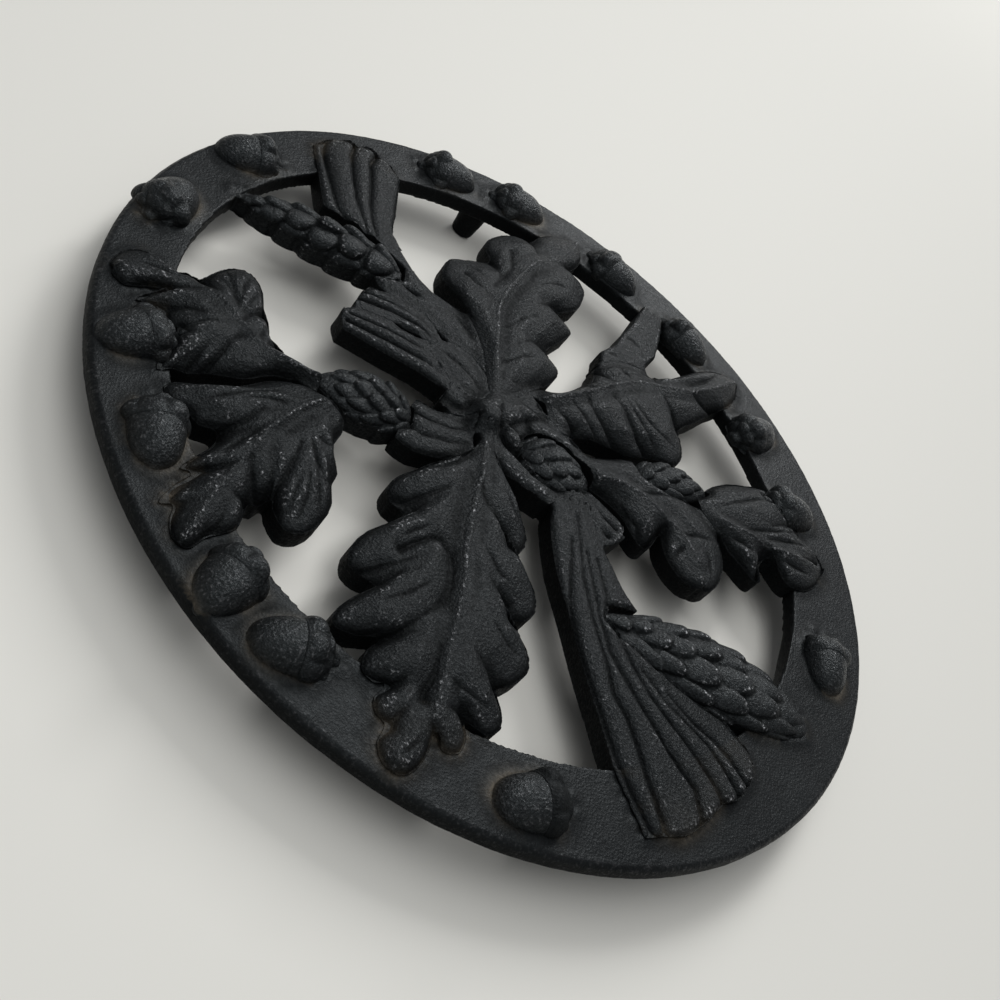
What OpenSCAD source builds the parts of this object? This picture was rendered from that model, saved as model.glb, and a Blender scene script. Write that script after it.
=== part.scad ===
// Round cast-iron trivet. A flat rim stands on four short feet. Oak leaves, pine needles and
// pine cones cross its hole, and fourteen acorns lie round the rim.
// The origin is the middle of the rim in the plane that the feet stand on. Units are millimetres.
// The foliage has a flat back, level with the underside of the rim, as a sand casting has.

/* [Rim] */
// Outside diameter of the rim
rim_d = 190; // [170:1:220]
// Width of the rim where it is widest, on the right
rim_w = 20; // [18:0.5:22]
// How far the hole is shifted to the left
hole_shift = 2.8; // [0:0.2:4]
// Thickness of the rim
rim_t = 4; // [3:0.25:6]
// Bevel on the edges of the rim
rim_bevel = 0.8; // [0.3:0.1:1.2]

/* [Feet] */
// Height of the feet, from the table to the underside of the rim
foot_h = 9; // [6:0.5:14]
// Diameter of a foot where it joins the rim
foot_top_d = 8; // [6:0.5:11]
// Diameter of a foot at the table
foot_end_d = 6; // [4:0.5:9]
// Rounding at the end of a foot
foot_round = 1; // [0.4:0.1:1.6]
// Distance from the outside of the rim to the middle of a foot
foot_inset = 10; // [8:0.5:12]
// Angle of the first foot round the rim
foot_angle = 28; // [0:1:89]

/* [Leaves] */
// Height of a leaf's edge above the top of the rim
leaf_edge_h = 1; // [0.6:0.1:2]
// Further height of a leaf's midrib
leaf_rib_h = 2.6; // [1:0.1:4]
// How far the middle of a long lobe swells
leaf_lobe_h = 2; // [0.5:0.1:3]

/* [Needles] */
// Height of the needle bundles above the top of the rim
needle_h = 1.8; // [1:0.1:3]
// How far a needle stands out from the groove beside it
needle_ridge_h = 1.2; // [0.4:0.1:2]

/* [Cones] */
// Height of the two large cones above the top of the rim
large_cone_h = 5.9; // [4:0.1:8]
// Height of the three small cones above the top of the rim
small_cone_h = 5; // [3:0.1:7]
// How far a cone scale stands out
cone_scale_h = 1.1; // [0.5:0.1:1.6]

/* [Acorns] */
// Diameter of an acorn's nut where its cap starts
nut_d = 11.4; // [9:0.1:13]
// Length of a nut outside its cap
nut_l = 9.4; // [7:0.1:12]
// Diameter of an acorn's cap
cap_d = 12.6; // [10:0.1:14]
// Length of a cap
cap_l = 6.6; // [5:0.1:9]
// How far the middle of an acorn lies below the top of the rim
acorn_sink = 0.8; // [0:0.1:2]
// How far a cap scale stands out
cap_scale_h = 0.5; // [0.2:0.1:0.9]
// Length of the stalk on a cap
stalk_l = 2.4; // [1:0.1:4]
// Diameter of the stalk on a cap
stalk_d = 3.2; // [2:0.1:4]

/* [Hidden] */
rim_r = rim_d / 2;
hole_r = rim_r - rim_w + hole_shift;
back_z = foot_h;
top_z = foot_h + rim_t;
foot_count = 4;
acorn_count = 14;
fine = 96;
overrun = 1;

iron = [0.13, 0.135, 0.145];
iron_leaf = [0.17, 0.175, 0.185];
iron_needle = [0.15, 0.155, 0.165];
iron_cone = [0.20, 0.205, 0.215];
iron_nut = [0.18, 0.185, 0.195];
iron_cap = [0.22, 0.22, 0.225];

acorn_nodes = [for (k = [1:acorn_count]) each [str("acorn_nut_", k), str("acorn_cap_", k)]];
foot_nodes = [for (k = [1:foot_count]) str("foot_", k)];

// Every outline below is given in shares of the rim's radius, X to the right and Y away.
// A leaf or a bundle has a left side and a right side, as seen along it from its stalk, with as
// many points on each, and a middle line.

lower_leaf_left_shares = [
    [-0.07, -0.09], [-0.02, -0.17], [0.03, -0.2], [0.08, -0.235], [0.112, -0.28], [0.112, -0.325],
    [0.09, -0.35], [0.135, -0.365], [0.175, -0.395], [0.195, -0.445], [0.18, -0.485], [0.15, -0.51],
    [0.19, -0.53], [0.222, -0.56], [0.23, -0.6], [0.212, -0.645], [0.187, -0.68], [0.21, -0.71],
    [0.227, -0.75], [0.205, -0.785], [0.155, -0.785], [0.175, -0.815], [0.175, -0.855],
    [0.145, -0.873], [0.115, -0.845], [0.125, -0.89], [0.12, -0.935], [0.105, -0.965], [0.085, -0.975]
];
lower_leaf_right_shares = [
    [-0.1, -0.07], [-0.085, -0.17], [-0.105, -0.26], [-0.15, -0.315], [-0.187, -0.365],
    [-0.193, -0.415], [-0.17, -0.445], [-0.135, -0.447], [-0.15, -0.5], [-0.178, -0.55],
    [-0.187, -0.61], [-0.17, -0.65], [-0.135, -0.655], [-0.105, -0.65], [-0.128, -0.7],
    [-0.145, -0.755], [-0.135, -0.79], [-0.09, -0.78], [-0.045, -0.745], [-0.06, -0.79],
    [-0.05, -0.835], [-0.015, -0.84], [0.005, -0.82], [-0.007, -0.865], [0.01, -0.895],
    [0.035, -0.9], [0.035, -0.94], [0.055, -0.967], [0.075, -0.975]
];
lower_leaf_rib_shares = [
    [-0.085, -0.08], [-0.075, -0.17], [-0.055, -0.28], [-0.035, -0.38], [-0.005, -0.5],
    [0.04, -0.635], [0.07, -0.755], [0.08, -0.87], [0.08, -0.972]
];

upper_leaf_left_shares = [
    [-0.125, 0.03], [-0.155, 0.09], [-0.19, 0.15], [-0.23, 0.205], [-0.275, 0.25], [-0.325, 0.285],
    [-0.37, 0.315], [-0.387, 0.36], [-0.388, 0.405], [-0.355, 0.45], [-0.315, 0.495],
    [-0.305, 0.515], [-0.33, 0.545], [-0.343, 0.59], [-0.33, 0.64], [-0.31, 0.68], [-0.28, 0.71],
    [-0.25, 0.725], [-0.24, 0.765], [-0.225, 0.81], [-0.195, 0.845], [-0.165, 0.87], [-0.15, 0.875]
];
upper_leaf_right_shares = [
    [-0.09, 0.04], [-0.065, 0.085], [-0.05, 0.135], [-0.03, 0.185], [-0.012, 0.235],
    [-0.003, 0.285], [-0.015, 0.315], [-0.06, 0.34], [-0.05, 0.385], [-0.035, 0.44],
    [-0.027, 0.485], [-0.055, 0.505], [-0.085, 0.52], [-0.065, 0.555], [-0.045, 0.6],
    [-0.045, 0.655], [-0.055, 0.7], [-0.085, 0.725], [-0.115, 0.735], [-0.105, 0.775],
    [-0.108, 0.82], [-0.12, 0.855], [-0.135, 0.872]
];
upper_leaf_rib_shares = [
    [-0.108, 0.035], [-0.13, 0.1], [-0.16, 0.19], [-0.185, 0.28], [-0.2, 0.37], [-0.2, 0.46],
    [-0.19, 0.56], [-0.17, 0.66], [-0.15, 0.76], [-0.142, 0.873]
];

left_leaf_upper_left_shares = [
    [-0.42, -0.33], [-0.47, -0.335], [-0.505, -0.355], [-0.53, -0.39], [-0.55, -0.42],
    [-0.585, -0.45], [-0.615, -0.48], [-0.635, -0.505], [-0.66, -0.515], [-0.68, -0.545],
    [-0.7, -0.495], [-0.715, -0.44], [-0.735, -0.42], [-0.77, -0.405], [-0.81, -0.425],
    [-0.8, -0.385], [-0.78, -0.345], [-0.815, -0.375], [-0.845, -0.41], [-0.88, -0.405]
];
left_leaf_upper_right_shares = [
    [-0.43, -0.275], [-0.475, -0.28], [-0.52, -0.297], [-0.545, -0.272], [-0.575, -0.268],
    [-0.59, -0.235], [-0.62, -0.205], [-0.645, -0.165], [-0.675, -0.14], [-0.71, -0.138],
    [-0.735, -0.17], [-0.747, -0.21], [-0.757, -0.255], [-0.785, -0.265], [-0.805, -0.292],
    [-0.83, -0.287], [-0.865, -0.287], [-0.893, -0.31], [-0.905, -0.35], [-0.898, -0.385]
];
left_leaf_upper_rib_shares = [
    [-0.43, -0.3], [-0.5, -0.315], [-0.56, -0.32], [-0.61, -0.318], [-0.655, -0.31], [-0.7, -0.305],
    [-0.745, -0.308], [-0.79, -0.335], [-0.885, -0.392]
];

left_leaf_lower_left_shares = [
    [-0.345, -0.33], [-0.33, -0.37], [-0.33, -0.41], [-0.31, -0.445], [-0.287, -0.475],
    [-0.285, -0.51], [-0.262, -0.55], [-0.257, -0.605], [-0.27, -0.655], [-0.305, -0.68],
    [-0.345, -0.655], [-0.36, -0.635], [-0.368, -0.67], [-0.385, -0.68], [-0.378, -0.715],
    [-0.372, -0.745], [-0.385, -0.775], [-0.405, -0.81], [-0.41, -0.84], [-0.42, -0.855],
    [-0.43, -0.858]
];
left_leaf_lower_right_shares = [
    [-0.43, -0.335], [-0.48, -0.345], [-0.515, -0.385], [-0.545, -0.445], [-0.59, -0.5],
    [-0.635, -0.54], [-0.648, -0.57], [-0.62, -0.592], [-0.585, -0.587], [-0.55, -0.597],
    [-0.515, -0.58], [-0.505, -0.62], [-0.515, -0.67], [-0.522, -0.715], [-0.495, -0.7],
    [-0.508, -0.75], [-0.508, -0.81], [-0.485, -0.79], [-0.475, -0.82], [-0.455, -0.85],
    [-0.435, -0.858]
];
left_leaf_lower_rib_shares = [
    [-0.385, -0.335], [-0.395, -0.37], [-0.41, -0.41], [-0.42, -0.455], [-0.43, -0.51],
    [-0.438, -0.58], [-0.44, -0.66], [-0.438, -0.76], [-0.432, -0.858]
];

right_leaf_upper_left_shares = [
    [-0.045, 0.135], [-0.02, 0.195], [0.015, 0.225], [0.04, 0.265], [0.06, 0.315], [0.075, 0.36],
    [0.068, 0.405], [0.08, 0.45], [0.105, 0.49], [0.14, 0.52], [0.175, 0.54], [0.205, 0.553],
    [0.24, 0.58], [0.27, 0.615], [0.29, 0.655], [0.31, 0.7], [0.335, 0.745], [0.365, 0.785],
    [0.395, 0.81], [0.42, 0.822], [0.44, 0.818]
];
right_leaf_upper_right_shares = [
    [0.03, 0.1], [0.075, 0.09], [0.105, 0.125], [0.14, 0.16], [0.185, 0.18], [0.235, 0.2],
    [0.265, 0.225], [0.31, 0.265], [0.35, 0.285], [0.37, 0.31], [0.372, 0.355], [0.355, 0.4],
    [0.34, 0.435], [0.352, 0.475], [0.375, 0.52], [0.395, 0.57], [0.415, 0.62], [0.44, 0.67],
    [0.458, 0.72], [0.463, 0.765], [0.455, 0.8]
];
right_leaf_upper_rib_shares = [
    [0, 0.13], [0.03, 0.2], [0.065, 0.27], [0.1, 0.335], [0.135, 0.39], [0.175, 0.455], [0.23, 0.52],
    [0.29, 0.59], [0.36, 0.69], [0.447, 0.81]
];

right_leaf_middle_left_shares = [
    [0.13, 0.075], [0.165, 0.105], [0.21, 0.15], [0.255, 0.195], [0.32, 0.205], [0.39, 0.205],
    [0.44, 0.197], [0.48, 0.18], [0.52, 0.16], [0.55, 0.125], [0.565, 0.08], [0.568, 0.03],
    [0.555, -0.02], [0.53, -0.045]
];
right_leaf_middle_right_shares = [
    [0.16, -0.005], [0.2, 0], [0.245, 0], [0.285, -0.01], [0.32, -0.035], [0.352, -0.052],
    [0.375, -0.04], [0.383, 0.005], [0.39, 0.03], [0.405, -0.005], [0.43, -0.035], [0.46, -0.052],
    [0.49, -0.058], [0.515, -0.052]
];
right_leaf_middle_rib_shares = [
    [0.15, 0.035], [0.22, 0.055], [0.28, 0.075], [0.34, 0.08], [0.4, 0.07], [0.46, 0.045],
    [0.523, -0.045]
];

right_leaf_lower_left_shares = [
    [0.435, 0.235], [0.455, 0.275], [0.475, 0.325], [0.51, 0.375], [0.545, 0.41], [0.585, 0.445],
    [0.63, 0.475], [0.68, 0.5], [0.72, 0.475], [0.735, 0.42], [0.75, 0.385], [0.785, 0.385],
    [0.82, 0.365], [0.83, 0.345]
];
right_leaf_lower_right_shares = [
    [0.475, 0.175], [0.52, 0.165], [0.565, 0.145], [0.61, 0.13], [0.65, 0.115], [0.67, 0.13],
    [0.655, 0.175], [0.675, 0.23], [0.71, 0.21], [0.745, 0.19], [0.785, 0.205], [0.815, 0.245],
    [0.83, 0.29], [0.835, 0.325]
];
right_leaf_lower_rib_shares = [
    [0.45, 0.2], [0.5, 0.205], [0.555, 0.225], [0.61, 0.245], [0.67, 0.27], [0.74, 0.3],
    [0.832, 0.335]
];

lower_fan_left_shares = [
    [0.2, -0.055], [0.25, -0.13], [0.31, -0.175], [0.35, -0.215], [0.42, -0.255], [0.5, -0.29],
    [0.6, -0.33], [0.68, -0.36], [0.735, -0.385]
];
lower_fan_right_shares = [
    [0.12, -0.115], [0.14, -0.185], [0.195, -0.295], [0.265, -0.39], [0.335, -0.49], [0.405, -0.58],
    [0.465, -0.66], [0.51, -0.7], [0.565, -0.75]
];
lower_fan_end_shares = [
    [0.735, -0.385], [0.755, -0.43], [0.75, -0.475], [0.73, -0.53], [0.7, -0.565], [0.675, -0.63],
    [0.64, -0.69], [0.605, -0.715], [0.565, -0.75]
];
lower_fan_needles = 7;

upper_fan_left_shares = [[-0.7, 0.25], [-0.735, 0.3], [-0.775, 0.36], [-0.805, 0.4], [-0.83, 0.44]];
upper_fan_right_shares = [[-0.46, 0.26], [-0.53, 0.33], [-0.555, 0.4], [-0.585, 0.48], [-0.615, 0.56]];
upper_fan_end_shares = [
    [-0.83, 0.44], [-0.81, 0.49], [-0.785, 0.525], [-0.75, 0.55], [-0.71, 0.575], [-0.66, 0.575],
    [-0.615, 0.56]
];
upper_fan_needles = 4;

branch_left_shares = [
    [-0.12, 0.06], [-0.2, 0.115], [-0.27, 0.11], [-0.35, 0.13], [-0.42, 0.12], [-0.47, 0.12],
    [-0.52, 0.16]
];
branch_right_shares = [
    [-0.12, 0.08], [-0.18, 0.155], [-0.25, 0.225], [-0.3, 0.25], [-0.37, 0.235], [-0.45, 0.267],
    [-0.54, 0.335]
];
branch_end_shares = [[-0.52, 0.16], [-0.53, 0.25], [-0.54, 0.335]];
branch_needles = 4;

upper_tuft_left_shares = [[-0.28, 0.06], [-0.34, 0.06], [-0.41, 0.035], [-0.485, -0.005]];
upper_tuft_right_shares = [[-0.29, 0.105], [-0.35, 0.135], [-0.42, 0.125], [-0.485, 0.1]];
upper_tuft_end_shares = [[-0.485, -0.005], [-0.492, 0.045], [-0.485, 0.1]];
upper_tuft_needles = 3;

lower_tuft_left_shares = [[-0.2, -0.04], [-0.28, -0.045], [-0.37, -0.068], [-0.47, -0.09]];
lower_tuft_right_shares = [[-0.22, 0.06], [-0.3, 0.06], [-0.4, 0.035], [-0.485, -0.01]];
lower_tuft_end_shares = [[-0.47, -0.09], [-0.498, -0.05], [-0.485, -0.01]];
lower_tuft_needles = 3;

hub_tuft_left_shares = [[-0.13, -0.02], [-0.17, -0.02], [-0.21, -0.01], [-0.29, 0.03]];
hub_tuft_right_shares = [[-0.12, 0.045], [-0.175, 0.108], [-0.23, 0.125], [-0.285, 0.095]];
hub_tuft_end_shares = [[-0.29, 0.03], [-0.298, 0.065], [-0.285, 0.095]];
hub_tuft_needles = 2;

right_tuft_left_shares = [[0.18, -0.01], [0.22, -0.012], [0.26, -0.02], [0.29, -0.03]];
right_tuft_right_shares = [[0.15, -0.08], [0.19, -0.12], [0.22, -0.15], [0.265, -0.15]];
right_tuft_end_shares = [[0.29, -0.03], [0.305, -0.09], [0.265, -0.15]];
right_tuft_needles = 3;

bract_left_shares = [[-0.08, -0.19], [-0.13, -0.235], [-0.19, -0.275], [-0.24, -0.275]];
bract_right_shares = [[-0.12, -0.07], [-0.16, -0.1], [-0.21, -0.12], [-0.25, -0.13]];
bract_end_shares = [[-0.24, -0.275], [-0.25, -0.2], [-0.25, -0.13]];
bract_needles = 4;

hub_shares = [
    [-0.205, 0.01], [-0.21, -0.1], [-0.15, -0.11], [-0.055, -0.12], [-0.005, -0.165],
    [0.115, -0.155], [0.14, -0.11], [0.19, -0.06], [0.185, 0], [0.16, 0.07], [0.095, 0.09],
    [0.04, 0.12], [-0.02, 0.18], [-0.05, 0.14], [-0.06, 0.09], [-0.1, 0.05], [-0.145, 0.07]
];
web_shares = [
    [0.075, 0.44], [0.062, 0.5], [0.085, 0.56], [0.09, 0.63], [0.1, 0.7], [0.11, 0.83],
    [0.175, 0.83], [0.195, 0.72], [0.202, 0.64], [0.185, 0.575], [0.21, 0.54], [0.15, 0.49]
];

// A cone: the middle of its butt, the middle of its tip, its greatest half width, then a power
// that puts its widest place nearer its butt when it is below 1 and nearer its tip when above.
centre_cone_shares = [[0.003, -0.046], [0.186, 0.008], 0.081, 0.8];
left_cone_shares = [[-0.235, -0.19], [-0.44, -0.275], 0.078, 0.8];
right_cone_shares = [[0.275, 0.155], [0.465, 0.285], 0.062, 0.8];
upper_cone_shares = [[-0.445, 0.216], [-0.872, 0.075], 0.068, 0.7];
lower_cone_shares = [[0.33, -0.32], [0.865, -0.207], 0.105, 1.15];

// An acorn: the place of its middle, then the direction of its nut in degrees.
acorn_place_shares = [
    [-0.532, 0.739], [-0.332, 0.844], [-0.008, 0.879], [0.262, 0.822], [0.545, 0.663],
    [0.702, 0.458], [0.886, 0.021], [0.332, -0.846], [-0.175, -0.888], [-0.325, -0.855],
    [-0.595, -0.678], [-0.757, -0.504], [-0.927, -0.101], [-0.907, 0.216]
];
acorn_turns = [30, 25, -10, -22, 55, 28, -75, 217, 207, 262, 300, 235, 87, 225];

// Points between hand-set ones, on a smooth curve through them. s runs from 0 to 1.
function curve_at(path, s) =
    let (
        last = len(path) - 1,
        k = min(floor(s * last), last - 1),
        t = s * last - k,
        a = path[max(k - 1, 0)],
        b = path[k],
        c = path[k + 1],
        d = path[min(k + 2, last)]
    )
    (2 * b + (c - a) * t + (2 * a - 5 * b + 4 * c - d) * t * t + (3 * b - a - 3 * c + d) * t * t * t) / 2;

function blend(a, b, s) = a + (b - a) * s;

// The top of a casting is a grid of points. It gets upright walls and a flat underside.
module relief(rows, floor_z) {
    row_count = len(rows);
    col_count = len(rows[0]);
    top = [for (row = rows) each row];
    edge = concat(
        [for (j = [0:col_count - 1]) j],
        [for (i = [1:row_count - 1]) i * col_count + col_count - 1],
        [for (j = [col_count - 2:-1:0]) (row_count - 1) * col_count + j],
        [for (i = [row_count - 2:-1:1]) i * col_count]
    );
    edge_count = len(edge);
    first_floor = len(top);
    polyhedron(
        points = concat(top, [for (k = edge) [top[k].x, top[k].y, floor_z]]),
        faces = concat(
            [for (i = [0:row_count - 2], j = [0:col_count - 2])
                let (a = i * col_count + j, b = a + 1, c = a + col_count, d = c + 1)
                each [[a, c, b], [b, c, d]]],
            [for (k = [0:edge_count - 1])
                let (next = (k + 1) % edge_count)
                each [[edge[k], edge[next], first_floor + k],
                      [edge[next], first_floor + next, first_floor + k]]],
            [[for (k = [0:edge_count - 1]) first_floor + k]]
        )
    );
}

// A leaf rises from its edge to its midrib, swells where a lobe is long, and thins at its tip.
lobe_reach_share = 0.2;
tip_thin_share = 0.5;
tip_power = 4;
per_point = 2;
half = 3;

function leaf_point(side, rib, s, across) =
    let (
        place = blend(side, rib, across),
        swell = min(norm(side - rib) / (lobe_reach_share * rim_r), 1) * sin(180 * across),
        fade = 1 - tip_thin_share * pow(s, tip_power)
    )
    [place.x, place.y, top_z + leaf_edge_h + (leaf_rib_h * across + leaf_lobe_h * swell) * fade];

module leaf(left, right, rib) {
    steps = per_point * (len(left) - 1);
    relief([
        for (i = [0:steps])
            let (
                s = i / steps,
                l = rim_r * curve_at(left, s),
                r = rim_r * curve_at(right, s),
                m = rim_r * curve_at(rib, s)
            )
            concat(
                [for (j = [0:half]) leaf_point(l, m, s, j / half)],
                [for (j = [half - 1:-1:0]) leaf_point(r, m, s, j / half)]
            )
    ], back_z);
}

// A bundle of needles is ridged lengthwise and ends in a free curve.
per_needle = 4;
end_power = 3;

module bundle(left, right, ends, needles) {
    steps = per_point * (len(left) - 1);
    cols = per_needle * needles;
    relief([
        for (i = [0:steps])
            let (s = i / steps, l = curve_at(left, s), r = curve_at(right, s))
            [for (j = [0:cols])
                let (
                    across = j / cols,
                    flat_end = blend(left[len(left) - 1], right[len(right) - 1], across),
                    pull = (curve_at(ends, across) - flat_end) * pow(s, end_power),
                    place = rim_r * (blend(l, r, across) + pull),
                    ridge = abs(sin(180 * needles * across)),
                    crown = sin(180 * across)
                )
                [place.x, place.y,
                 top_z + leaf_edge_h + needle_h * crown + needle_ridge_h * (ridge - 1) * sqrt(crown)]]
    ], back_z);
}

// A cone is a half spindle whose scales overlap like shingles, each row half a scale along.
cone_blunt_share = 0.03;
cone_round_power = 0.6;
cone_side_turn = 84;
scale_root_share = 0.4;
scale_side_turn = 75;
scale_round_power = 0.7;
scales_across = 4;
per_scale = 4;

function cone_width_share(s, belly_power) =
    let (inner = blend(cone_blunt_share, 1 - cone_blunt_share, s))
    pow(sin(180 * pow(inner, belly_power)), cone_round_power);

function scale_share(u, v) =
    blend(scale_root_share, 1, u) * pow(cos(scale_side_turn * (2 * v - 1)), scale_round_power);

function cone_point(shares, height, scale_rows, i, j) =
    let (
        butt = rim_r * shares[0],
        tip = rim_r * shares[1],
        half_w = rim_r * shares[2] - cone_scale_h / 2,
        along = (tip - butt) / norm(tip - butt),
        side = [-along.y, along.x],
        s = i / (scale_rows * per_scale),
        row = min(floor(s * scale_rows), scale_rows - 1),
        w = cone_width_share(s, shares[3]),
        turn = cone_side_turn * (1 - 2 * j / (scales_across * per_scale)),
        shift = j / per_scale + (row % 2) / 2,
        bump = cone_scale_h * scale_share(s * scale_rows - row, shift - floor(shift)) * w * cos(turn),
        place = butt + (tip - butt) * s + side * (half_w * w + bump) * sin(turn)
    )
    [place.x, place.y, top_z + (height * w + bump - cone_scale_h) * cos(turn)];

module cone(shares, height, scale_rows) {
    steps = scale_rows * per_scale;
    cols = scales_across * per_scale;
    relief([
        for (i = [0:steps])
            [for (j = [0:cols]) cone_point(shares, height, scale_rows, i, j)]
    ], back_z);
}

// A cast piece is its first child, less all the others.
module casting() {
    resize([0, 0, 0])
        difference() {
            children(0);
            if ($children > 1)
                children([1:$children - 1]);
        }
}

module footprint(outline) {
    translate([0, 0, back_z - overrun])
        linear_extrude(rim_t + large_cone_h + 3 * overrun)
            polygon(outline);
}

module leaf_footprint(left, right) {
    steps = per_point * (len(left) - 1);
    footprint(rim_r * concat(
        [for (i = [0:steps]) curve_at(left, i / steps)],
        [for (i = [steps:-1:0]) curve_at(right, i / steps)]
    ));
}

module bundle_footprint(left, right, ends, needles) {
    steps = per_point * (len(left) - 1);
    cols = per_needle * needles;
    footprint(rim_r * concat(
        [for (i = [0:steps]) curve_at(left, i / steps)],
        [for (j = [1:cols - 1]) curve_at(ends, j / cols)],
        [for (i = [steps:-1:0]) curve_at(right, i / steps)]
    ));
}

module cone_footprint(shares, scale_rows) {
    steps = scale_rows * per_scale;
    cols = scales_across * per_scale;
    function edge_at(i, j) =
        let (place = cone_point(shares, 0, scale_rows, i, j))
        [place.x, place.y];
    footprint(concat(
        [for (i = [0:steps]) edge_at(i, 0)],
        [for (j = [1:cols - 1]) edge_at(steps, j)],
        [for (i = [steps:-1:0]) edge_at(i, cols)],
        [for (j = [cols - 1:-1:1]) edge_at(0, j)]
    ));
}

// Rim

module rim_disc(radius) {
    rotate_extrude($fn = fine)
        polygon([
            [0, back_z],
            [radius - rim_bevel, back_z],
            [radius, back_z + rim_bevel],
            [radius, top_z - rim_bevel],
            [radius - rim_bevel, top_z],
            [0, top_z]
        ]);
}

module rim_hole() {
    translate([-hole_shift, 0, back_z - overrun])
        cylinder(h = rim_t + 2 * overrun, r = hole_r, $fn = fine);
}

module rim_ring() {
    color(iron)
        difference() {
            rim_disc(rim_r);
            rim_hole();
        }
}

// The rim as a plain ring, which the foliage is cut to fit.
module rim_space() {
    difference() {
        translate([0, 0, back_z - overrun])
            cylinder(h = rim_t + overrun, r = rim_r + overrun, $fn = fine);
        rim_hole();
    }
}

// Cones

small_rows = 5;
upper_rows = 6;
lower_rows = 7;

module cone_centre() {
    color(iron_cone)
        casting()
            cone(centre_cone_shares, small_cone_h, small_rows);
}

module cone_left() {
    color(iron_cone)
        casting()
            cone(left_cone_shares, small_cone_h, small_rows);
}

module cone_right() {
    color(iron_cone)
        casting()
            cone(right_cone_shares, small_cone_h, small_rows);
}

module cone_upper_left() {
    color(iron_cone)
        casting() {
            cone(upper_cone_shares, large_cone_h, upper_rows);
            rim_space();
        }
}

module cone_lower_right() {
    color(iron_cone)
        casting() {
            cone(lower_cone_shares, large_cone_h, lower_rows);
            rim_space();
        }
}

module cone_footprints() {
    for (shares = [centre_cone_shares, left_cone_shares, right_cone_shares])
        cone_footprint(shares, small_rows);
    cone_footprint(upper_cone_shares, upper_rows);
    cone_footprint(lower_cone_shares, lower_rows);
}

// Acorns

nut_r = nut_d / 2;
cap_r = cap_d / 2;
nut_steps = 10;
nut_round_power = 0.8;
cap_rows = 8;
cap_cols = 18;
cap_side_turn = 84;
cap_blunt_share = 0.9;
cap_scales = 5;
nut_facets = 48;
stalk_facets = 24;

module at_acorn(k) {
    place = rim_r * acorn_place_shares[k];
    turn = acorn_turns[k];
    middle = (nut_l - cap_l) / 2;
    translate([place.x, place.y, top_z])
        rotate([0, 0, turn])
            translate([-middle, 0, 0])
                children();
}

module below_top() {
    translate([-rim_r, -rim_r, -nut_d])
        cube([rim_d, rim_d, nut_d]);
}

module nut_solid() {
    difference() {
        translate([0, 0, -acorn_sink])
            rotate([0, 90, 0])
                rotate_extrude($fn = nut_facets)
                    polygon(concat(
                        [[0, 0]],
                        [for (i = [0:nut_steps])
                            let (turn = 90 * i / nut_steps)
                            [nut_r * pow(cos(turn), nut_round_power), nut_l * sin(turn)]]
                    ));
        below_top();
    }
}

module cap_solid() {
    translate([0, 0, -top_z])
        relief([
            for (i = [0:cap_rows])
                let (
                    s = cap_blunt_share * i / cap_rows,
                    w = sqrt(1 - s * s),
                    row = floor(i / 2)
                )
                [for (j = [0:cap_cols])
                    let (
                        turn = cap_side_turn * (2 * j / cap_cols - 1),
                        v = cap_scales * j / cap_cols + (row % 2) / 2,
                        bump = cap_scale_h * abs(sin(180 * v)) * (i % 2)
                    )
                    [-cap_l * s,
                     (cap_r * w - cap_scale_h + bump) * sin(turn),
                     top_z + ((cap_r - acorn_sink) * w - cap_scale_h + bump) * cos(turn)]]
        ], top_z);
    difference() {
        translate([-cap_l * cap_blunt_share, 0, 0])
            rotate([0, -90, 0])
                cylinder(h = stalk_l, d = stalk_d, $fn = stalk_facets);
        below_top();
    }
}

module acorn_nut(k) {
    color(iron_nut)
        at_acorn(k)
            nut_solid();
}

module acorn_cap(k) {
    color(iron_cap)
        at_acorn(k)
            resize([0, 0, 0])
                cap_solid();
}

module acorns() {
    for (k = [0:acorn_count - 1])
        at_acorn(k) {
            nut_solid();
            cap_solid();
        }
}

// Leaves. Each gives way to the cones and acorns on it, and to the leaves before it.

module lower_oak_leaf() {
    color(iron_leaf)
        casting() {
            leaf(lower_leaf_left_shares, lower_leaf_right_shares, lower_leaf_rib_shares);
            rim_space();
        }
}

module upper_oak_leaf() {
    color(iron_leaf)
        casting() {
            leaf(upper_leaf_left_shares, upper_leaf_right_shares, upper_leaf_rib_shares);
            rim_space();
            acorns();
        }
}

module oak_footprints() {
    leaf_footprint(lower_leaf_left_shares, lower_leaf_right_shares);
    leaf_footprint(upper_leaf_left_shares, upper_leaf_right_shares);
}

module left_leaf_upper() {
    color(iron_leaf)
        casting() {
            leaf(left_leaf_upper_left_shares, left_leaf_upper_right_shares, left_leaf_upper_rib_shares);
            rim_space();
            acorns();
            cone_footprints();
        }
}

module left_leaf_lower() {
    color(iron_leaf)
        casting() {
            leaf(left_leaf_lower_left_shares, left_leaf_lower_right_shares, left_leaf_lower_rib_shares);
            rim_space();
            acorns();
            cone_footprints();
            leaf_footprint(left_leaf_upper_left_shares, left_leaf_upper_right_shares);
        }
}

module right_leaf_middle() {
    color(iron_leaf)
        casting() {
            leaf(right_leaf_middle_left_shares, right_leaf_middle_right_shares,
                right_leaf_middle_rib_shares);
            cone_footprints();
        }
}

module right_leaf_upper() {
    color(iron_leaf)
        casting() {
            leaf(right_leaf_upper_left_shares, right_leaf_upper_right_shares,
                right_leaf_upper_rib_shares);
            rim_space();
            acorns();
            cone_footprints();
            oak_footprints();
            leaf_footprint(right_leaf_middle_left_shares, right_leaf_middle_right_shares);
        }
}

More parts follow.
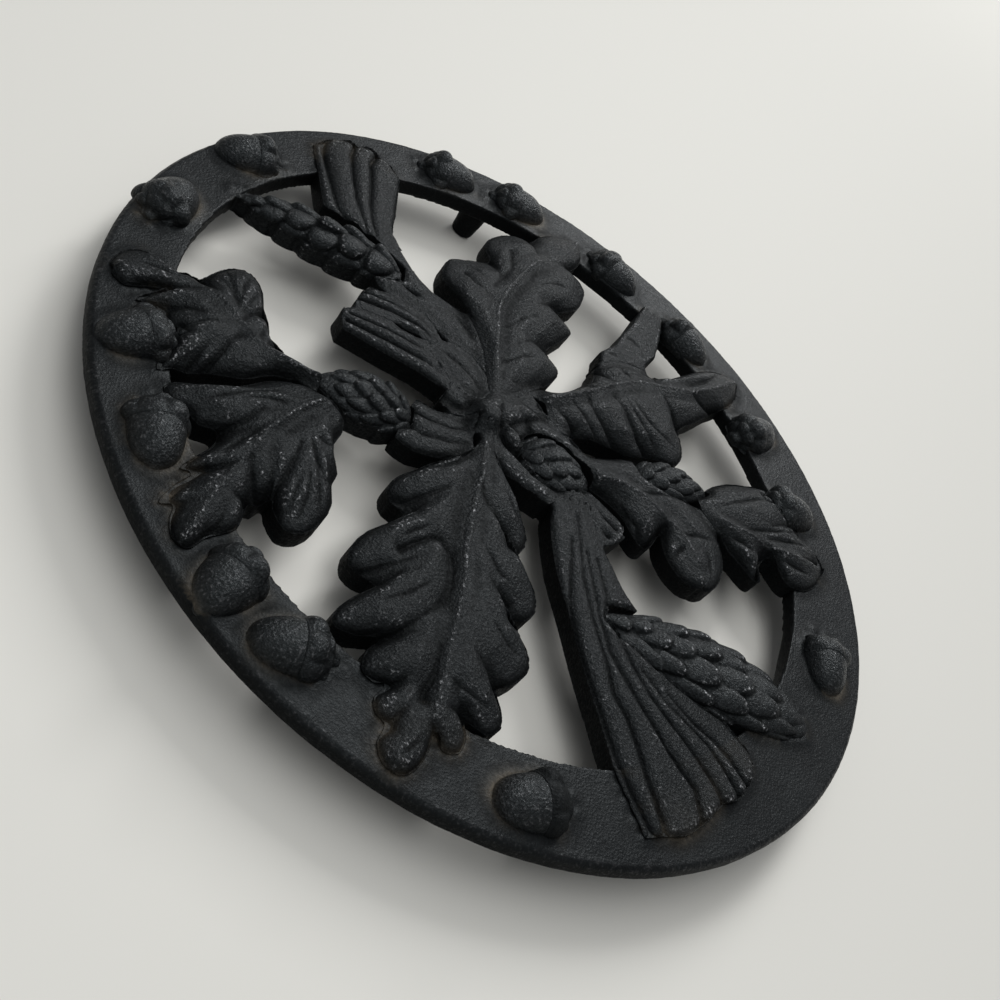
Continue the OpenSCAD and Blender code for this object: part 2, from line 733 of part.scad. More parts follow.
module right_leaf_lower() {
    color(iron_leaf)
        casting() {
            leaf(right_leaf_lower_left_shares, right_leaf_lower_right_shares,
                right_leaf_lower_rib_shares);
            rim_space();
            acorns();
            cone_footprints();
            leaf_footprint(right_leaf_middle_left_shares, right_leaf_middle_right_shares);
        }
}

module leaf_footprints() {
    oak_footprints();
    leaf_footprint(left_leaf_upper_left_shares, left_leaf_upper_right_shares);
    leaf_footprint(left_leaf_lower_left_shares, left_leaf_lower_right_shares);
    leaf_footprint(right_leaf_upper_left_shares, right_leaf_upper_right_shares);
    leaf_footprint(right_leaf_middle_left_shares, right_leaf_middle_right_shares);
    leaf_footprint(right_leaf_lower_left_shares, right_leaf_lower_right_shares);
}

// A flat web joins the upper right leaf to the rim.
module rim_web() {
    color(iron_leaf)
        casting() {
            translate([0, 0, back_z])
                linear_extrude(rim_t + leaf_edge_h)
                    polygon(rim_r * web_shares);
            rim_space();
            acorns();
            leaf_footprints();
        }
}

// Needle bundles

module lower_needle_fan() {
    color(iron_needle)
        casting() {
            bundle(lower_fan_left_shares, lower_fan_right_shares, lower_fan_end_shares,
                lower_fan_needles);
            rim_space();
            cone_footprints();
            leaf_footprints();
        }
}

module upper_needle_fan() {
    color(iron_needle)
        casting() {
            bundle(upper_fan_left_shares, upper_fan_right_shares, upper_fan_end_shares,
                upper_fan_needles);
            rim_space();
            cone_footprints();
        }
}

module upper_left_branch() {
    color(iron_needle)
        casting() {
            bundle(branch_left_shares, branch_right_shares, branch_end_shares, branch_needles);
            cone_footprints();
            leaf_footprints();
            bundle_footprint(upper_fan_left_shares, upper_fan_right_shares, upper_fan_end_shares,
                upper_fan_needles);
        }
}

module left_tuft_upper() {
    color(iron_needle)
        casting() {
            bundle(upper_tuft_left_shares, upper_tuft_right_shares, upper_tuft_end_shares,
                upper_tuft_needles);
            cone_footprints();
            bundle_footprint(branch_left_shares, branch_right_shares, branch_end_shares, branch_needles);
        }
}

module hub_tuft() {
    color(iron_needle)
        casting() {
            bundle(hub_tuft_left_shares, hub_tuft_right_shares, hub_tuft_end_shares, hub_tuft_needles);
            leaf_footprints();
            bundle_footprint(branch_left_shares, branch_right_shares, branch_end_shares, branch_needles);
            bundle_footprint(upper_tuft_left_shares, upper_tuft_right_shares, upper_tuft_end_shares,
                upper_tuft_needles);
        }
}

module left_tuft_lower() {
    color(iron_needle)
        casting() {
            bundle(lower_tuft_left_shares, lower_tuft_right_shares, lower_tuft_end_shares,
                lower_tuft_needles);
            leaf_footprints();
            bundle_footprint(branch_left_shares, branch_right_shares, branch_end_shares, branch_needles);
            bundle_footprint(upper_tuft_left_shares, upper_tuft_right_shares, upper_tuft_end_shares,
                upper_tuft_needles);
            bundle_footprint(hub_tuft_left_shares, hub_tuft_right_shares, hub_tuft_end_shares,
                hub_tuft_needles);
        }
}

module right_tuft() {
    color(iron_needle)
        casting() {
            bundle(right_tuft_left_shares, right_tuft_right_shares, right_tuft_end_shares,
                right_tuft_needles);
            cone_footprints();
            leaf_footprints();
            bundle_footprint(lower_fan_left_shares, lower_fan_right_shares, lower_fan_end_shares,
                lower_fan_needles);
        }
}

module left_bract() {
    color(iron_needle)
        casting() {
            bundle(bract_left_shares, bract_right_shares, bract_end_shares, bract_needles);
            cone_footprints();
            leaf_footprints();
        }
}

// The hub fills what is left where all the stalks meet.
module stem_hub() {
    color(iron_leaf)
        casting() {
            translate([0, 0, back_z])
                linear_extrude(rim_t + leaf_edge_h + needle_h)
                    polygon(rim_r * hub_shares);
            cone_footprints();
            leaf_footprints();
            bundle_footprint(lower_fan_left_shares, lower_fan_right_shares, lower_fan_end_shares,
                lower_fan_needles);
            bundle_footprint(branch_left_shares, branch_right_shares, branch_end_shares, branch_needles);
            bundle_footprint(hub_tuft_left_shares, hub_tuft_right_shares, hub_tuft_end_shares,
                hub_tuft_needles);
            bundle_footprint(lower_tuft_left_shares, lower_tuft_right_shares, lower_tuft_end_shares,
                lower_tuft_needles);
            bundle_footprint(right_tuft_left_shares, right_tuft_right_shares, right_tuft_end_shares,
                right_tuft_needles);
            bundle_footprint(bract_left_shares, bract_right_shares, bract_end_shares, bract_needles);
        }
}

// Feet

foot_facets = 48;

module foot(k) {
    top_r = foot_top_d / 2;
    end_r = foot_end_d / 2;
    round_steps = 4;
    color(iron)
        rotate([0, 0, foot_angle + 360 * k / foot_count])
            translate([rim_r - foot_inset, 0, 0])
                rotate_extrude($fn = foot_facets)
                    polygon(concat(
                        [[0, 0]],
                        [for (i = [0:round_steps])
                            let (turn = 90 * i / round_steps)
                            [end_r - foot_round * (1 - sin(turn)), foot_round * (1 - cos(turn))]],
                        [[top_r, back_z], [0, back_z]]
                    ));
}

rim_ring();
stem_hub();
lower_oak_leaf();
upper_oak_leaf();
left_leaf_upper();
left_leaf_lower();
right_leaf_upper();
right_leaf_middle();
right_leaf_lower();
rim_web();
lower_needle_fan();
upper_needle_fan();
upper_left_branch();
left_tuft_upper();
left_tuft_lower();
hub_tuft();
right_tuft();
left_bract();
cone_centre();
cone_left();
cone_right();
cone_upper_left();
cone_lower_right();
for (k = [0:acorn_count - 1]) {
    acorn_nut(k);
    acorn_cap(k);
}
for (k = [0:foot_count - 1])
    foot(k);
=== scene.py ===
"""A round cast-iron trivet with oak leaves, pine needles, cones and acorns, on a pale table.

Everything is in metres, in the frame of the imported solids: +Z up, feet on Z = 0.
"""
import math

import bpy
import numpy as np
from mathutils import Matrix, Vector, kdtree, noise
from mathutils.bvhtree import BVHTree


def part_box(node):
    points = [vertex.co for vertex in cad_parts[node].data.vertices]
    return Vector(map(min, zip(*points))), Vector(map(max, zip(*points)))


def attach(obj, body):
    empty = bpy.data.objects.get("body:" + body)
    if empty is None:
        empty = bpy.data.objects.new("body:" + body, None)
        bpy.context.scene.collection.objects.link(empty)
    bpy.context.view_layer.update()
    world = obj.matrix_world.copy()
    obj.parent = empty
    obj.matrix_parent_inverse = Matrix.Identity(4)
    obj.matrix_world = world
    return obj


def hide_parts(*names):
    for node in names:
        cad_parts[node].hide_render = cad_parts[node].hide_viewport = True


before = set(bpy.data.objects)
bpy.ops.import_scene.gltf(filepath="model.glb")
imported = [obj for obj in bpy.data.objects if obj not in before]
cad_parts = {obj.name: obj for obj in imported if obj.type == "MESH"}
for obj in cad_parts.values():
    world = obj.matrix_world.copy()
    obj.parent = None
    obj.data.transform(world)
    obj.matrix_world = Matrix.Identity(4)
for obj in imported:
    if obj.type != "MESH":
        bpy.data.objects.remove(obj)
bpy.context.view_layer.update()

# Rim. It is a flat ring of grey iron, poured in sand with all the ornament on it. Its top is level
# but not machined, its corners are rounded, and the metal swells a little where a motif meets it.

RIM_TOP = 0.013
RIM_BACK = 0.009
RIM_RADIUS = 0.095
HOLE_RADIUS = 0.0778
HOLE_X = -0.0028
FILLET_RISE = 0.0003
FILLET_REACH = 0.0011
GRAIN = 1500.0
PIT_DEPTH = 0.0003
CREST_AND_HOLLOW_STAND = 0.00028
SHADED_RISE = 0.002
DUST_RISE = 0.0007
DUST_REACH = 0.0008
DUST_COLOUR = (0.11, 0.092, 0.068, 1)


def copied(name, *nodes):
    """A new piece made of copies of solids, with their loose triangles merged."""
    bpy.ops.object.select_all(action="DESELECT")
    for node in nodes:
        part = bpy.data.objects.new(name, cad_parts[node].data.copy())
        bpy.context.scene.collection.objects.link(part)
        part.select_set(True)
        bpy.context.view_layer.objects.active = part
    if len(nodes) > 1:
        bpy.ops.object.join()
    piece = bpy.context.view_layer.objects.active
    piece.data.materials.clear()
    bpy.ops.object.mode_set(mode="EDIT")
    bpy.ops.mesh.select_all(action="SELECT")
    bpy.ops.mesh.remove_doubles(threshold=2e-6)
    bpy.ops.object.mode_set(mode="OBJECT")
    return piece


def finished(piece, kind, **settings):
    """Adds a modifier to the piece and applies it."""
    bpy.context.view_layer.objects.active = piece
    mod = piece.modifiers.new(kind.lower(), kind)
    for key, value in settings.items():
        setattr(mod, key, value)
    bpy.ops.object.modifier_apply(modifier=mod.name)


def recast(piece, grain, smoothing):
    """Gives a piece an even skin with rounded corners."""
    finished(piece, "REMESH", mode="VOXEL", voxel_size=grain)
    finished(piece, "SMOOTH", factor=0.5, iterations=smoothing)


def points_of(piece):
    """The places and the normals of a piece's points."""
    mesh = piece.data
    co = np.empty(len(mesh.vertices) * 3)
    mesh.vertices.foreach_get("co", co)
    normal = np.empty(len(mesh.vertices) * 3)
    mesh.vertices.foreach_get("normal", normal)
    return co.reshape(-1, 3), normal.reshape(-1, 3)


def move_points(piece, co):
    """Puts a piece's points in new places."""
    piece.data.vertices.foreach_set("co", co.ravel())
    piece.data.update()


def uneven(co, scale, seed):
    """Slow unevenness between -1 and 1, the same at every run."""
    at = co / scale + seed
    return np.array([noise.noise(Vector(p)) for p in at])


def nearest(co, others, limit):
    """Distance in plan from each point to the nearest of the others, no more than the limit."""
    tree = kdtree.KDTree(len(others))
    for k, p in enumerate(others):
        tree.insert((p[0], p[1], 0.0), k)
    tree.balance()
    if not len(others):
        return np.full(len(co), limit)
    return np.minimum(np.array([tree.find((x, y, 0.0))[2] for x, y, _ in co]), limit)


def mark_rubbing_dust_and_painted_light(piece, dust, gap, shade):
    """Marks rubbing and painted glints on crests, painted shade in hollows, on side walls and low
    down by the rim, and where dust lies, for the iron to read.
    """
    mesh = piece.data
    co, normal = points_of(piece)
    edges = np.empty(len(mesh.edges) * 2, dtype=np.int64)
    mesh.edges.foreach_get("vertices", edges)
    a, b = edges.reshape(-1, 2).T
    count = np.bincount(a, minlength=len(co)) + np.bincount(b, minlength=len(co))
    soft = co.copy()
    for _ in range(12):
        total = np.zeros_like(soft)
        np.add.at(total, a, soft[b])
        np.add.at(total, b, soft[a])
        soft = total / np.maximum(count, 1)[:, None]
    stand = np.einsum("ij,ij->i", co - soft, normal) / CREST_AND_HOLLOW_STAND
    colour = np.ones((len(co), 4))
    # Red: high on crests for rubbing and painted glints; low in hollows, low down by the rim and
    # where shade is given, for painted shade.
    colour[:, 0] = np.clip(0.5 + stand, 0, 1) * np.clip(0.25 + gap / SHADED_RISE, 0, 1) * shade
    # Green: how far a point faces up, so the iron can paint shade on walls that face sideways.
    colour[:, 1] = np.clip(normal[:, 2], 0, 1)
    colour[:, 2] = dust
    layer = mesh.color_attributes.new("rubbing_dust_and_painted_light", "FLOAT_COLOR", "POINT")
    layer.data.foreach_set("color", colour.ravel())


def iron(name, base=0.0085, gloss=0.31, worn_and_glint=0.2, bump=1.0, sheen=0.12, grit=1.0):
    """Black sand-cast iron: pitted skin, painted shade in hollows and on side walls, crests lighter
    from rubbing and painted glints, and a little dust.
    """
    mat = bpy.data.materials.new(name)
    mat.use_nodes = True
    nodes, link = mat.node_tree.nodes, mat.node_tree.links.new
    shader = nodes["Principled BSDF"]
    shader.inputs["Metallic"].default_value = 0.0
    shader.inputs["Specular IOR Level"].default_value = sheen
    shader.inputs["Specular Tint"].default_value = (0.86, 0.96, 1.0, 1)

    def number(kind, operation, value=None):
        node = nodes.new(kind)
        node.operation = operation
        if value is not None:
            node.inputs[1].default_value = value
        return node

    def spread(source, low, high, to_low=0.0, to_high=1.0):
        node = nodes.new("ShaderNodeMapRange")
        node.inputs["From Min"].default_value = low
        node.inputs["From Max"].default_value = high
        node.inputs["To Min"].default_value = to_low
        node.inputs["To Max"].default_value = to_high
        link(source, node.inputs["Value"])
        return node.outputs["Result"]

    def times(a, b):
        node = number("ShaderNodeMath", "MULTIPLY")
        link(a, node.inputs[0])
        link(b, node.inputs[1])
        return node.outputs["Value"]

    def mix(factor, under, over, blend="MIX"):
        node = nodes.new("ShaderNodeMix")
        node.data_type = "RGBA"
        node.blend_type = blend
        if factor is None:
            node.inputs["Factor"].default_value = 1.0
        else:
            link(factor, node.inputs["Factor"])
        link(under, node.inputs["A"])
        if isinstance(over, tuple):
            node.inputs["B"].default_value = over
        else:
            link(over, node.inputs["B"])
        return node.outputs["Result"]

    place = nodes.new("ShaderNodeTexCoord").outputs["Object"]
    rubbing_dust_and_painted_light = nodes.new("ShaderNodeAttribute")
    rubbing_dust_and_painted_light.attribute_name = "rubbing_dust_and_painted_light"
    split = nodes.new("ShaderNodeSeparateColor")
    link(rubbing_dust_and_painted_light.outputs["Color"], split.inputs["Color"])

    cloud = nodes.new("ShaderNodeTexNoise")
    cloud.inputs["Scale"].default_value = 70.0
    cloud.inputs["Detail"].default_value = 5.0
    link(place, cloud.inputs["Vector"])
    skin = nodes.new("ShaderNodeTexNoise")
    skin.inputs["Scale"].default_value = GRAIN
    skin.inputs["Detail"].default_value = 4.0
    skin.inputs["Roughness"].default_value = 0.65
    link(place, skin.inputs["Vector"])
    pits = nodes.new("ShaderNodeTexVoronoi")
    pits.inputs["Scale"].default_value = GRAIN * 1.4
    link(place, pits.inputs["Vector"])

    tone = nodes.new("ShaderNodeValToRGB")
    tone.color_ramp.elements[0].position = 0.3
    tone.color_ramp.elements[0].color = (base * 0.72, base * 0.79, base * 0.84, 1)
    tone.color_ramp.elements[1].position = 0.75
    tone.color_ramp.elements[1].color = (base * 1.22, base * 1.34, base * 1.4, 1)
    link(cloud.outputs["Fac"], tone.inputs["Fac"])

    speck = spread(skin.outputs["Fac"], 0.55, 0.7)
    # Crests are lighter where the paint rubs off, with painted glints on them.
    rubbed_and_glint = times(spread(split.outputs["Red"], 0.78, 1.0), speck)
    # Painted shade: darker in hollows, low down by the rim, at joins and on walls that face
    # sideways.
    painted_shade = times(spread(split.outputs["Red"], 0.05, 0.5, 0.08, 1.0),
                   spread(split.outputs["Green"], 0.05, 0.8, 0.2, 1.0))
    dusty = times(times(split.outputs["Blue"], spread(cloud.outputs["Fac"], 0.47, 0.66)),
                  spread(skin.outputs["Fac"], 0.3, 0.6, 0.3, 0.8))
    colour = mix(rubbed_and_glint, tone.outputs["Color"], (worn_and_glint, worn_and_glint * 1.01, worn_and_glint * 1.04, 1))
    colour = mix(None, colour, painted_shade, "MULTIPLY")
    grainy = spread(skin.outputs["Fac"], 0.36, 0.64, 1 - 0.6 * grit, 1 + 0.6 * grit)
    colour = mix(None, colour, grainy, "MULTIPLY")
    colour = mix(dusty, colour, DUST_COLOUR)
    link(colour, shader.inputs["Base Color"])

    dull = number("ShaderNodeMath", "MULTIPLY_ADD", -0.2)
    link(rubbed_and_glint, dull.inputs[0])
    link(spread(skin.outputs["Fac"], 0.36, 0.64, gloss + 0.2 * grit, gloss - 0.1 * grit),
         dull.inputs[2])
    matt = number("ShaderNodeMath", "MULTIPLY_ADD", -0.35)
    link(painted_shade, matt.inputs[0])
    matt.inputs[2].default_value = 0.35
    rough = number("ShaderNodeMath", "ADD")
    link(dull.outputs["Value"], rough.inputs[0])
    link(matt.outputs["Value"], rough.inputs[1])
    link(rough.outputs["Value"], shader.inputs["Roughness"])

    height = number("ShaderNodeMath", "MULTIPLY_ADD", 0.35)
    link(pits.outputs["Distance"], height.inputs[0])
    link(skin.outputs["Fac"], height.inputs[2])
    relief = nodes.new("ShaderNodeBump")
    relief.inputs["Strength"].default_value = bump
    relief.inputs["Distance"].default_value = PIT_DEPTH
    link(height.outputs["Value"], relief.inputs["Height"])
    link(relief.outputs["Normal"], shader.inputs["Normal"])
    return mat


def placed(piece, material, slot, *nodes, dust=None, gap=None, shade=1.0):
    """Finishes a piece: smooth shading, its material, its marks of rubbing, dust and painted shade,
    its body and the solids it stands for.
    """
    co, _ = points_of(piece)
    if dust is None:
        over = (np.hypot(co[:, 0] - HOLE_X, co[:, 1]) > HOLE_RADIUS) & (co[:, 2] > RIM_TOP - 0.0005)
        dust = np.exp(-np.clip(co[:, 2] - RIM_TOP, 0, 1) / DUST_RISE) * over
        # Points low on a motif, close to the rim top, get painted shade.
        gap = np.where(over, co[:, 2] - RIM_TOP, 1.0)
    piece.data.materials.clear()
    piece.data.materials.append(material)
    piece.data.polygons.foreach_set("use_smooth", [True] * len(piece.data.polygons))
    mark_rubbing_dust_and_painted_light(piece, dust, gap, shade)
    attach(piece, "root")
    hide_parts(*nodes)


feet_of_motifs = []
for node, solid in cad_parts.items():
    if node != "rim_ring" and not node.startswith("foot"):
        spots, _ = points_of(solid)
        outside = np.hypot(spots[:, 0] - HOLE_X, spots[:, 1]) > HOLE_RADIUS - 2e-4
        feet_of_motifs.append(spots[(np.abs(spots[:, 2] - RIM_TOP) < 1e-4) & outside])
feet_of_motifs = np.concatenate(feet_of_motifs)

rim_iron = iron("rim_iron", worn_and_glint=0.03, gloss=0.36, bump=0.5, sheen=0.1, grit=0.4)
rim = copied("trivet_rim", "rim_ring")
recast(rim, grain=0.0005, smoothing=1)
co, normal = points_of(rim)
bumps = uneven(co, 0.009, 3.0) * 0.6 + uneven(co, 0.003, 11.0) * 0.4
co += normal * (0.00012 * bumps)[:, None]
near = nearest(co, feet_of_motifs, 0.01)
co[:, 2] += FILLET_RISE * np.exp(-(near / FILLET_REACH) ** 2) * (normal[:, 2] > 0.8)
move_points(rim, co)
# Dust lies round the feet of the motifs, and the rim is painted darker next to them as shade.
placed(rim, rim_iron, "rim", "rim_ring", dust=np.exp(-near / DUST_REACH) * (normal[:, 2] > 0.7),
       gap=near)

# Feet. Four short pegs are cast on the underside of the rim. They taper to a rounded end and carry
# the trivet clear of the table.

FOOT_HEIGHT = 0.009
FOOT_TOP = 0.004
FOOT_END = 0.003
FOOT_ROUNDING = 0.0009
FOOT_ROOT = 0.001

for k in range(4):
    low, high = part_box(f"foot_{k + 1}")
    bpy.ops.object.select_all(action="DESELECT")
    bpy.ops.mesh.primitive_cone_add(
        vertices=48, radius1=FOOT_END, radius2=FOOT_TOP, depth=FOOT_HEIGHT + FOOT_ROOT,
        location=((low.x + high.x) / 2, (low.y + high.y) / 2, (FOOT_HEIGHT + FOOT_ROOT) / 2))
    foot = bpy.context.view_layer.objects.active
    foot.name = f"trivet_foot_{k + 1}"
    bpy.ops.object.transform_apply(location=True)
    finished(foot, "BEVEL", width=FOOT_ROUNDING, segments=4, limit_method="ANGLE")
    recast(foot, grain=0.0004, smoothing=2)
    co, normal = points_of(foot)
    co += normal * (0.00008 * uneven(co, 0.003, 5.0 + k))[:, None]
    co[:, 2] = np.maximum(co[:, 2], 0.0)
    move_points(foot, co)
    placed(foot, rim_iron, "rim", f"foot_{k + 1}")

# Oak leaves. Each leaf is a low relief with a flat back, cast in one with the rim. Its lobes are
# plump and roll over at the edge. A deep valley runs in from every notch, and fine cuts mark veins.

LEAF_GRAIN = 0.00034
SUNK_IN_RIM = 0.0012
JOIN_GAP = 0.0005
JOIN_PUSH = 0.0006
JOIN_REACH = 0.006
UNEVEN = 0.00007

leaf_iron = iron("leaf_iron")
joined = []


def to_line(co, line):
    """Distance in plan from each point to a line in rim shares, and how far along it that is."""
    line = [RIM_RADIUS * np.array(p) for p in line]
    best = np.full(len(co), 1e9)
    along = np.zeros(len(co))
    total = 0.0
    lengths = [np.linalg.norm(b - a) for a, b in zip(line, line[1:])]
    for a, b, length in zip(line, line[1:], lengths):
        t = np.clip(((co[:, :2] - a) @ (b - a)) / length ** 2, 0, 1)
        gap = np.linalg.norm(co[:, :2] - a - t[:, None] * (b - a), axis=1)
        near = gap < best
        best[near] = gap[near]
        along[near] = (total + t[near] * length) / sum(lengths)
        total += length
    return best, along


def run_together(co, normal, node):
    """Finds the points that lie against another leaf or bundle, and pushes them a bit into it."""
    corners, faces = [], []
    for other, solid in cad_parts.items():
        if other != node and not other.startswith(("rim_ring", "foot", "acorn", "cone")):
            start = len(corners)
            corners += [v.co for v in solid.data.vertices]
            faces += [[start + i for i in face.vertices] for face in solid.data.polygons]
    tree = BVHTree.FromPolygons(corners, faces)
    meets = np.array([tree.find_nearest(Vector(p), JOIN_GAP)[0] is not None for p in co])
    flat = normal[:, :2] / np.maximum(np.linalg.norm(normal[:, :2], axis=1), 0.3)[:, None]
    side = meets & (np.abs(normal[:, 2]) < 0.8)
    co[side, :2] += JOIN_PUSH * flat[side]
    return meets


def skinned(name, node, smoothing):
    """A recast copy of a solid that reaches a little way into the rim and into its neighbours.

    With it come its points and normals, which points meet a neighbour, and how far each faces up.
    """
    piece = copied(name, node)
    co, _ = points_of(piece)
    outside = np.hypot(co[:, 0] - HOLE_X, co[:, 1]) > HOLE_RADIUS - 1e-4
    co[(np.abs(co[:, 2] - RIM_TOP) < 3e-5) & outside, 2] -= SUNK_IN_RIM
    move_points(piece, co)
    recast(piece, LEAF_GRAIN, smoothing)
    co, normal = points_of(piece)
    meets = run_together(co, normal, node)
    return piece, co, normal, meets, np.clip((normal[:, 2] - 0.2) / 0.45, 0, 1)


def raised(piece, co, normal, lift, spacing, seed):
    """Lifts the top of a piece, keeps its back flat, and leaves it as uneven as a casting is."""
    co[:, 2] = np.maximum(co[:, 2] + lift, RIM_BACK)
    co += normal * (UNEVEN * uneven(co, spacing, seed))[:, None]
    move_points(piece, co)


def rolled_edge(co, normal, meets, width, drop):
    """How far each point sinks where the top of a piece rolls over to its free walls."""
    wall = (np.abs(normal[:, 2]) < 0.4) & (co[:, 2] > RIM_TOP + 0.0003) & ~meets
    gap = nearest(co, co[wall], width) / width
    return drop * (1 - np.sqrt(1 - (1 - gap) ** 2))


def leaf(name, node, rib=(), valleys=(), cuts=(), ridges=(), sunk=0.0, roll=(0.0021, 0.0013),
         deep=1.0):
    """A leaf or stalk with a raised midrib, valleys between lobes, fine cuts and round ridges."""
    piece, co, normal, meets, up = skinned(name, node, 3)
    lift = -rolled_edge(co, normal, meets, *roll) - sunk
    if rib:
        gap, along = to_line(co, rib)
        crest = 0.0004 * np.exp(-(gap / 0.0005) ** 2) + 0.0005 * np.exp(-(gap / 0.0017) ** 2)
        lift += crest * (1 - 0.6 * along)
        lift -= 0.0003 * np.exp(-((gap - 0.003) / 0.0013) ** 2) * (1 - 0.5 * along)
    for line in valleys:
        gap, along = to_line(co, line)
        cut = 0.0013 * np.exp(-gap / 0.0007) + 0.0008 * np.exp(-(gap / 0.0026) ** 2)
        lift -= deep * cut * (1 - 0.75 * along)
    for line in cuts:
        gap, along = to_line(co, line)
        fade = np.sin(math.pi * (0.06 + 0.88 * along))
        lift -= 0.0006 * np.exp(-gap / 0.0005) * fade * deep ** 0.5
    for tall, wide, line in ridges:
        gap, _ = to_line(co, line)
        lift += tall * np.sqrt(np.clip(1 - (gap / wide) ** 2, 0, 1))
    raised(piece, co, normal, lift * up, 0.0025, 7.0)
    finished(piece, "SMOOTH", factor=0.4, iterations=1)
    joined.append((piece, nearest(co, co[meets], JOIN_REACH), leaf_iron, "leaf", node))


leaf("oak_leaf_lower", "lower_oak_leaf",
     rib=[(-0.091, -0.108), (-0.063, -0.19), (-0.044, -0.251), (-0.03, -0.329), (-0.014, -0.401),
          (0.009, -0.479), (0.023, -0.519), (0.038, -0.567), (0.048, -0.618), (0.066, -0.698),
          (0.08, -0.743), (0.082, -0.773), (0.095, -0.817), (0.11, -0.861)],
     valleys=[[(-0.171, -0.429), (-0.146, -0.423), (-0.121, -0.384), (-0.087, -0.325)],
              [(-0.161, -0.66), (-0.133, -0.635), (-0.111, -0.603), (-0.09, -0.576),
               (-0.08, -0.556)],
              [(-0.116, -0.8), (-0.099, -0.792), (-0.07, -0.765), (-0.044, -0.745),
               (-0.031, -0.733), (-0.019, -0.699), (0.004, -0.636), (0.012, -0.605)],
              [(-0.107, -0.555), (-0.09, -0.518), (-0.065, -0.481), (-0.049, -0.472),
               (-0.018, -0.486), (0, -0.517), (0.013, -0.558), (0.012, -0.605)],
              [(-0.017, -0.842), (0.011, -0.827), (0.029, -0.789)],
              [(0.04, -0.902), (0.048, -0.865), (0.056, -0.838)],
              [(0.072, -0.816), (0.066, -0.803), (0.066, -0.761), (0.055, -0.716), (0.048, -0.695)],
              [(0.081, -0.354), (0.066, -0.33), (0.043, -0.316), (0.016, -0.308), (-0.019, -0.287),
               (-0.033, -0.265)],
              [(0.151, -0.519), (0.134, -0.486), (0.111, -0.486), (0.073, -0.478)],
              [(0.183, -0.683), (0.151, -0.668), (0.114, -0.657)],
              [(0.15, -0.785), (0.13, -0.79), (0.115, -0.8)]],
     cuts=[[(-0.119, -0.531), (-0.102, -0.493), (-0.08, -0.457)],
           [(-0.091, -0.702), (-0.072, -0.675), (-0.051, -0.645), (-0.035, -0.608),
            (-0.023, -0.575)],
           [(0.129, -0.455), (0.109, -0.447), (0.086, -0.447), (0.059, -0.43), (0.028, -0.415)],
           [(0.196, -0.587), (0.165, -0.587), (0.134, -0.575), (0.114, -0.567)],
           [(0.189, -0.744), (0.167, -0.748), (0.142, -0.747), (0.103, -0.747)],
           [(0.085, -0.265), (0.055, -0.26), (0.02, -0.235)],
           [(0.08, -0.95), (0.09, -0.92), (0.1, -0.89)]])
leaf("oak_leaf_upper", "upper_oak_leaf", roll=(0.0013, 0.0007), deep=0.55,
     rib=[(-0.131, 0.04), (-0.156, 0.118), (-0.17, 0.169), (-0.181, 0.205), (-0.194, 0.246),
          (-0.215, 0.3), (-0.223, 0.34), (-0.223, 0.382), (-0.224, 0.427), (-0.222, 0.483),
          (-0.215, 0.56), (-0.205, 0.614), (-0.188, 0.651), (-0.158, 0.71)],
     valleys=[[(-0.332, 0.371), (-0.303, 0.354), (-0.282, 0.35), (-0.257, 0.334)],
              [(-0.305, 0.515), (-0.285, 0.49), (-0.262, 0.46)],
              [(-0.276, 0.59), (-0.262, 0.553), (-0.249, 0.517), (-0.25, 0.479), (-0.258, 0.425),
               (-0.261, 0.385)],
              [(-0.045, 0.335), (-0.072, 0.33), (-0.11, 0.3), (-0.136, 0.239)],
              [(-0.075, 0.52), (-0.09, 0.525), (-0.115, 0.5), (-0.145, 0.449)],
              [(-0.11, 0.735), (-0.13, 0.72), (-0.15, 0.69)],
              [(-0.25, 0.725), (-0.235, 0.7), (-0.215, 0.66)],
              [(-0.018, 0.205), (-0.056, 0.152), (-0.095, 0.113)]],
     cuts=[[(-0.12, 0.41), (-0.155, 0.347), (-0.177, 0.273)],
           [(-0.07, 0.26), (-0.105, 0.213), (-0.143, 0.139)],
           [(-0.09, 0.62), (-0.13, 0.59), (-0.17, 0.53)],
           [(-0.35, 0.42), (-0.32, 0.41), (-0.28, 0.39)],
           [(-0.3, 0.28), (-0.26, 0.26), (-0.22, 0.23)]])
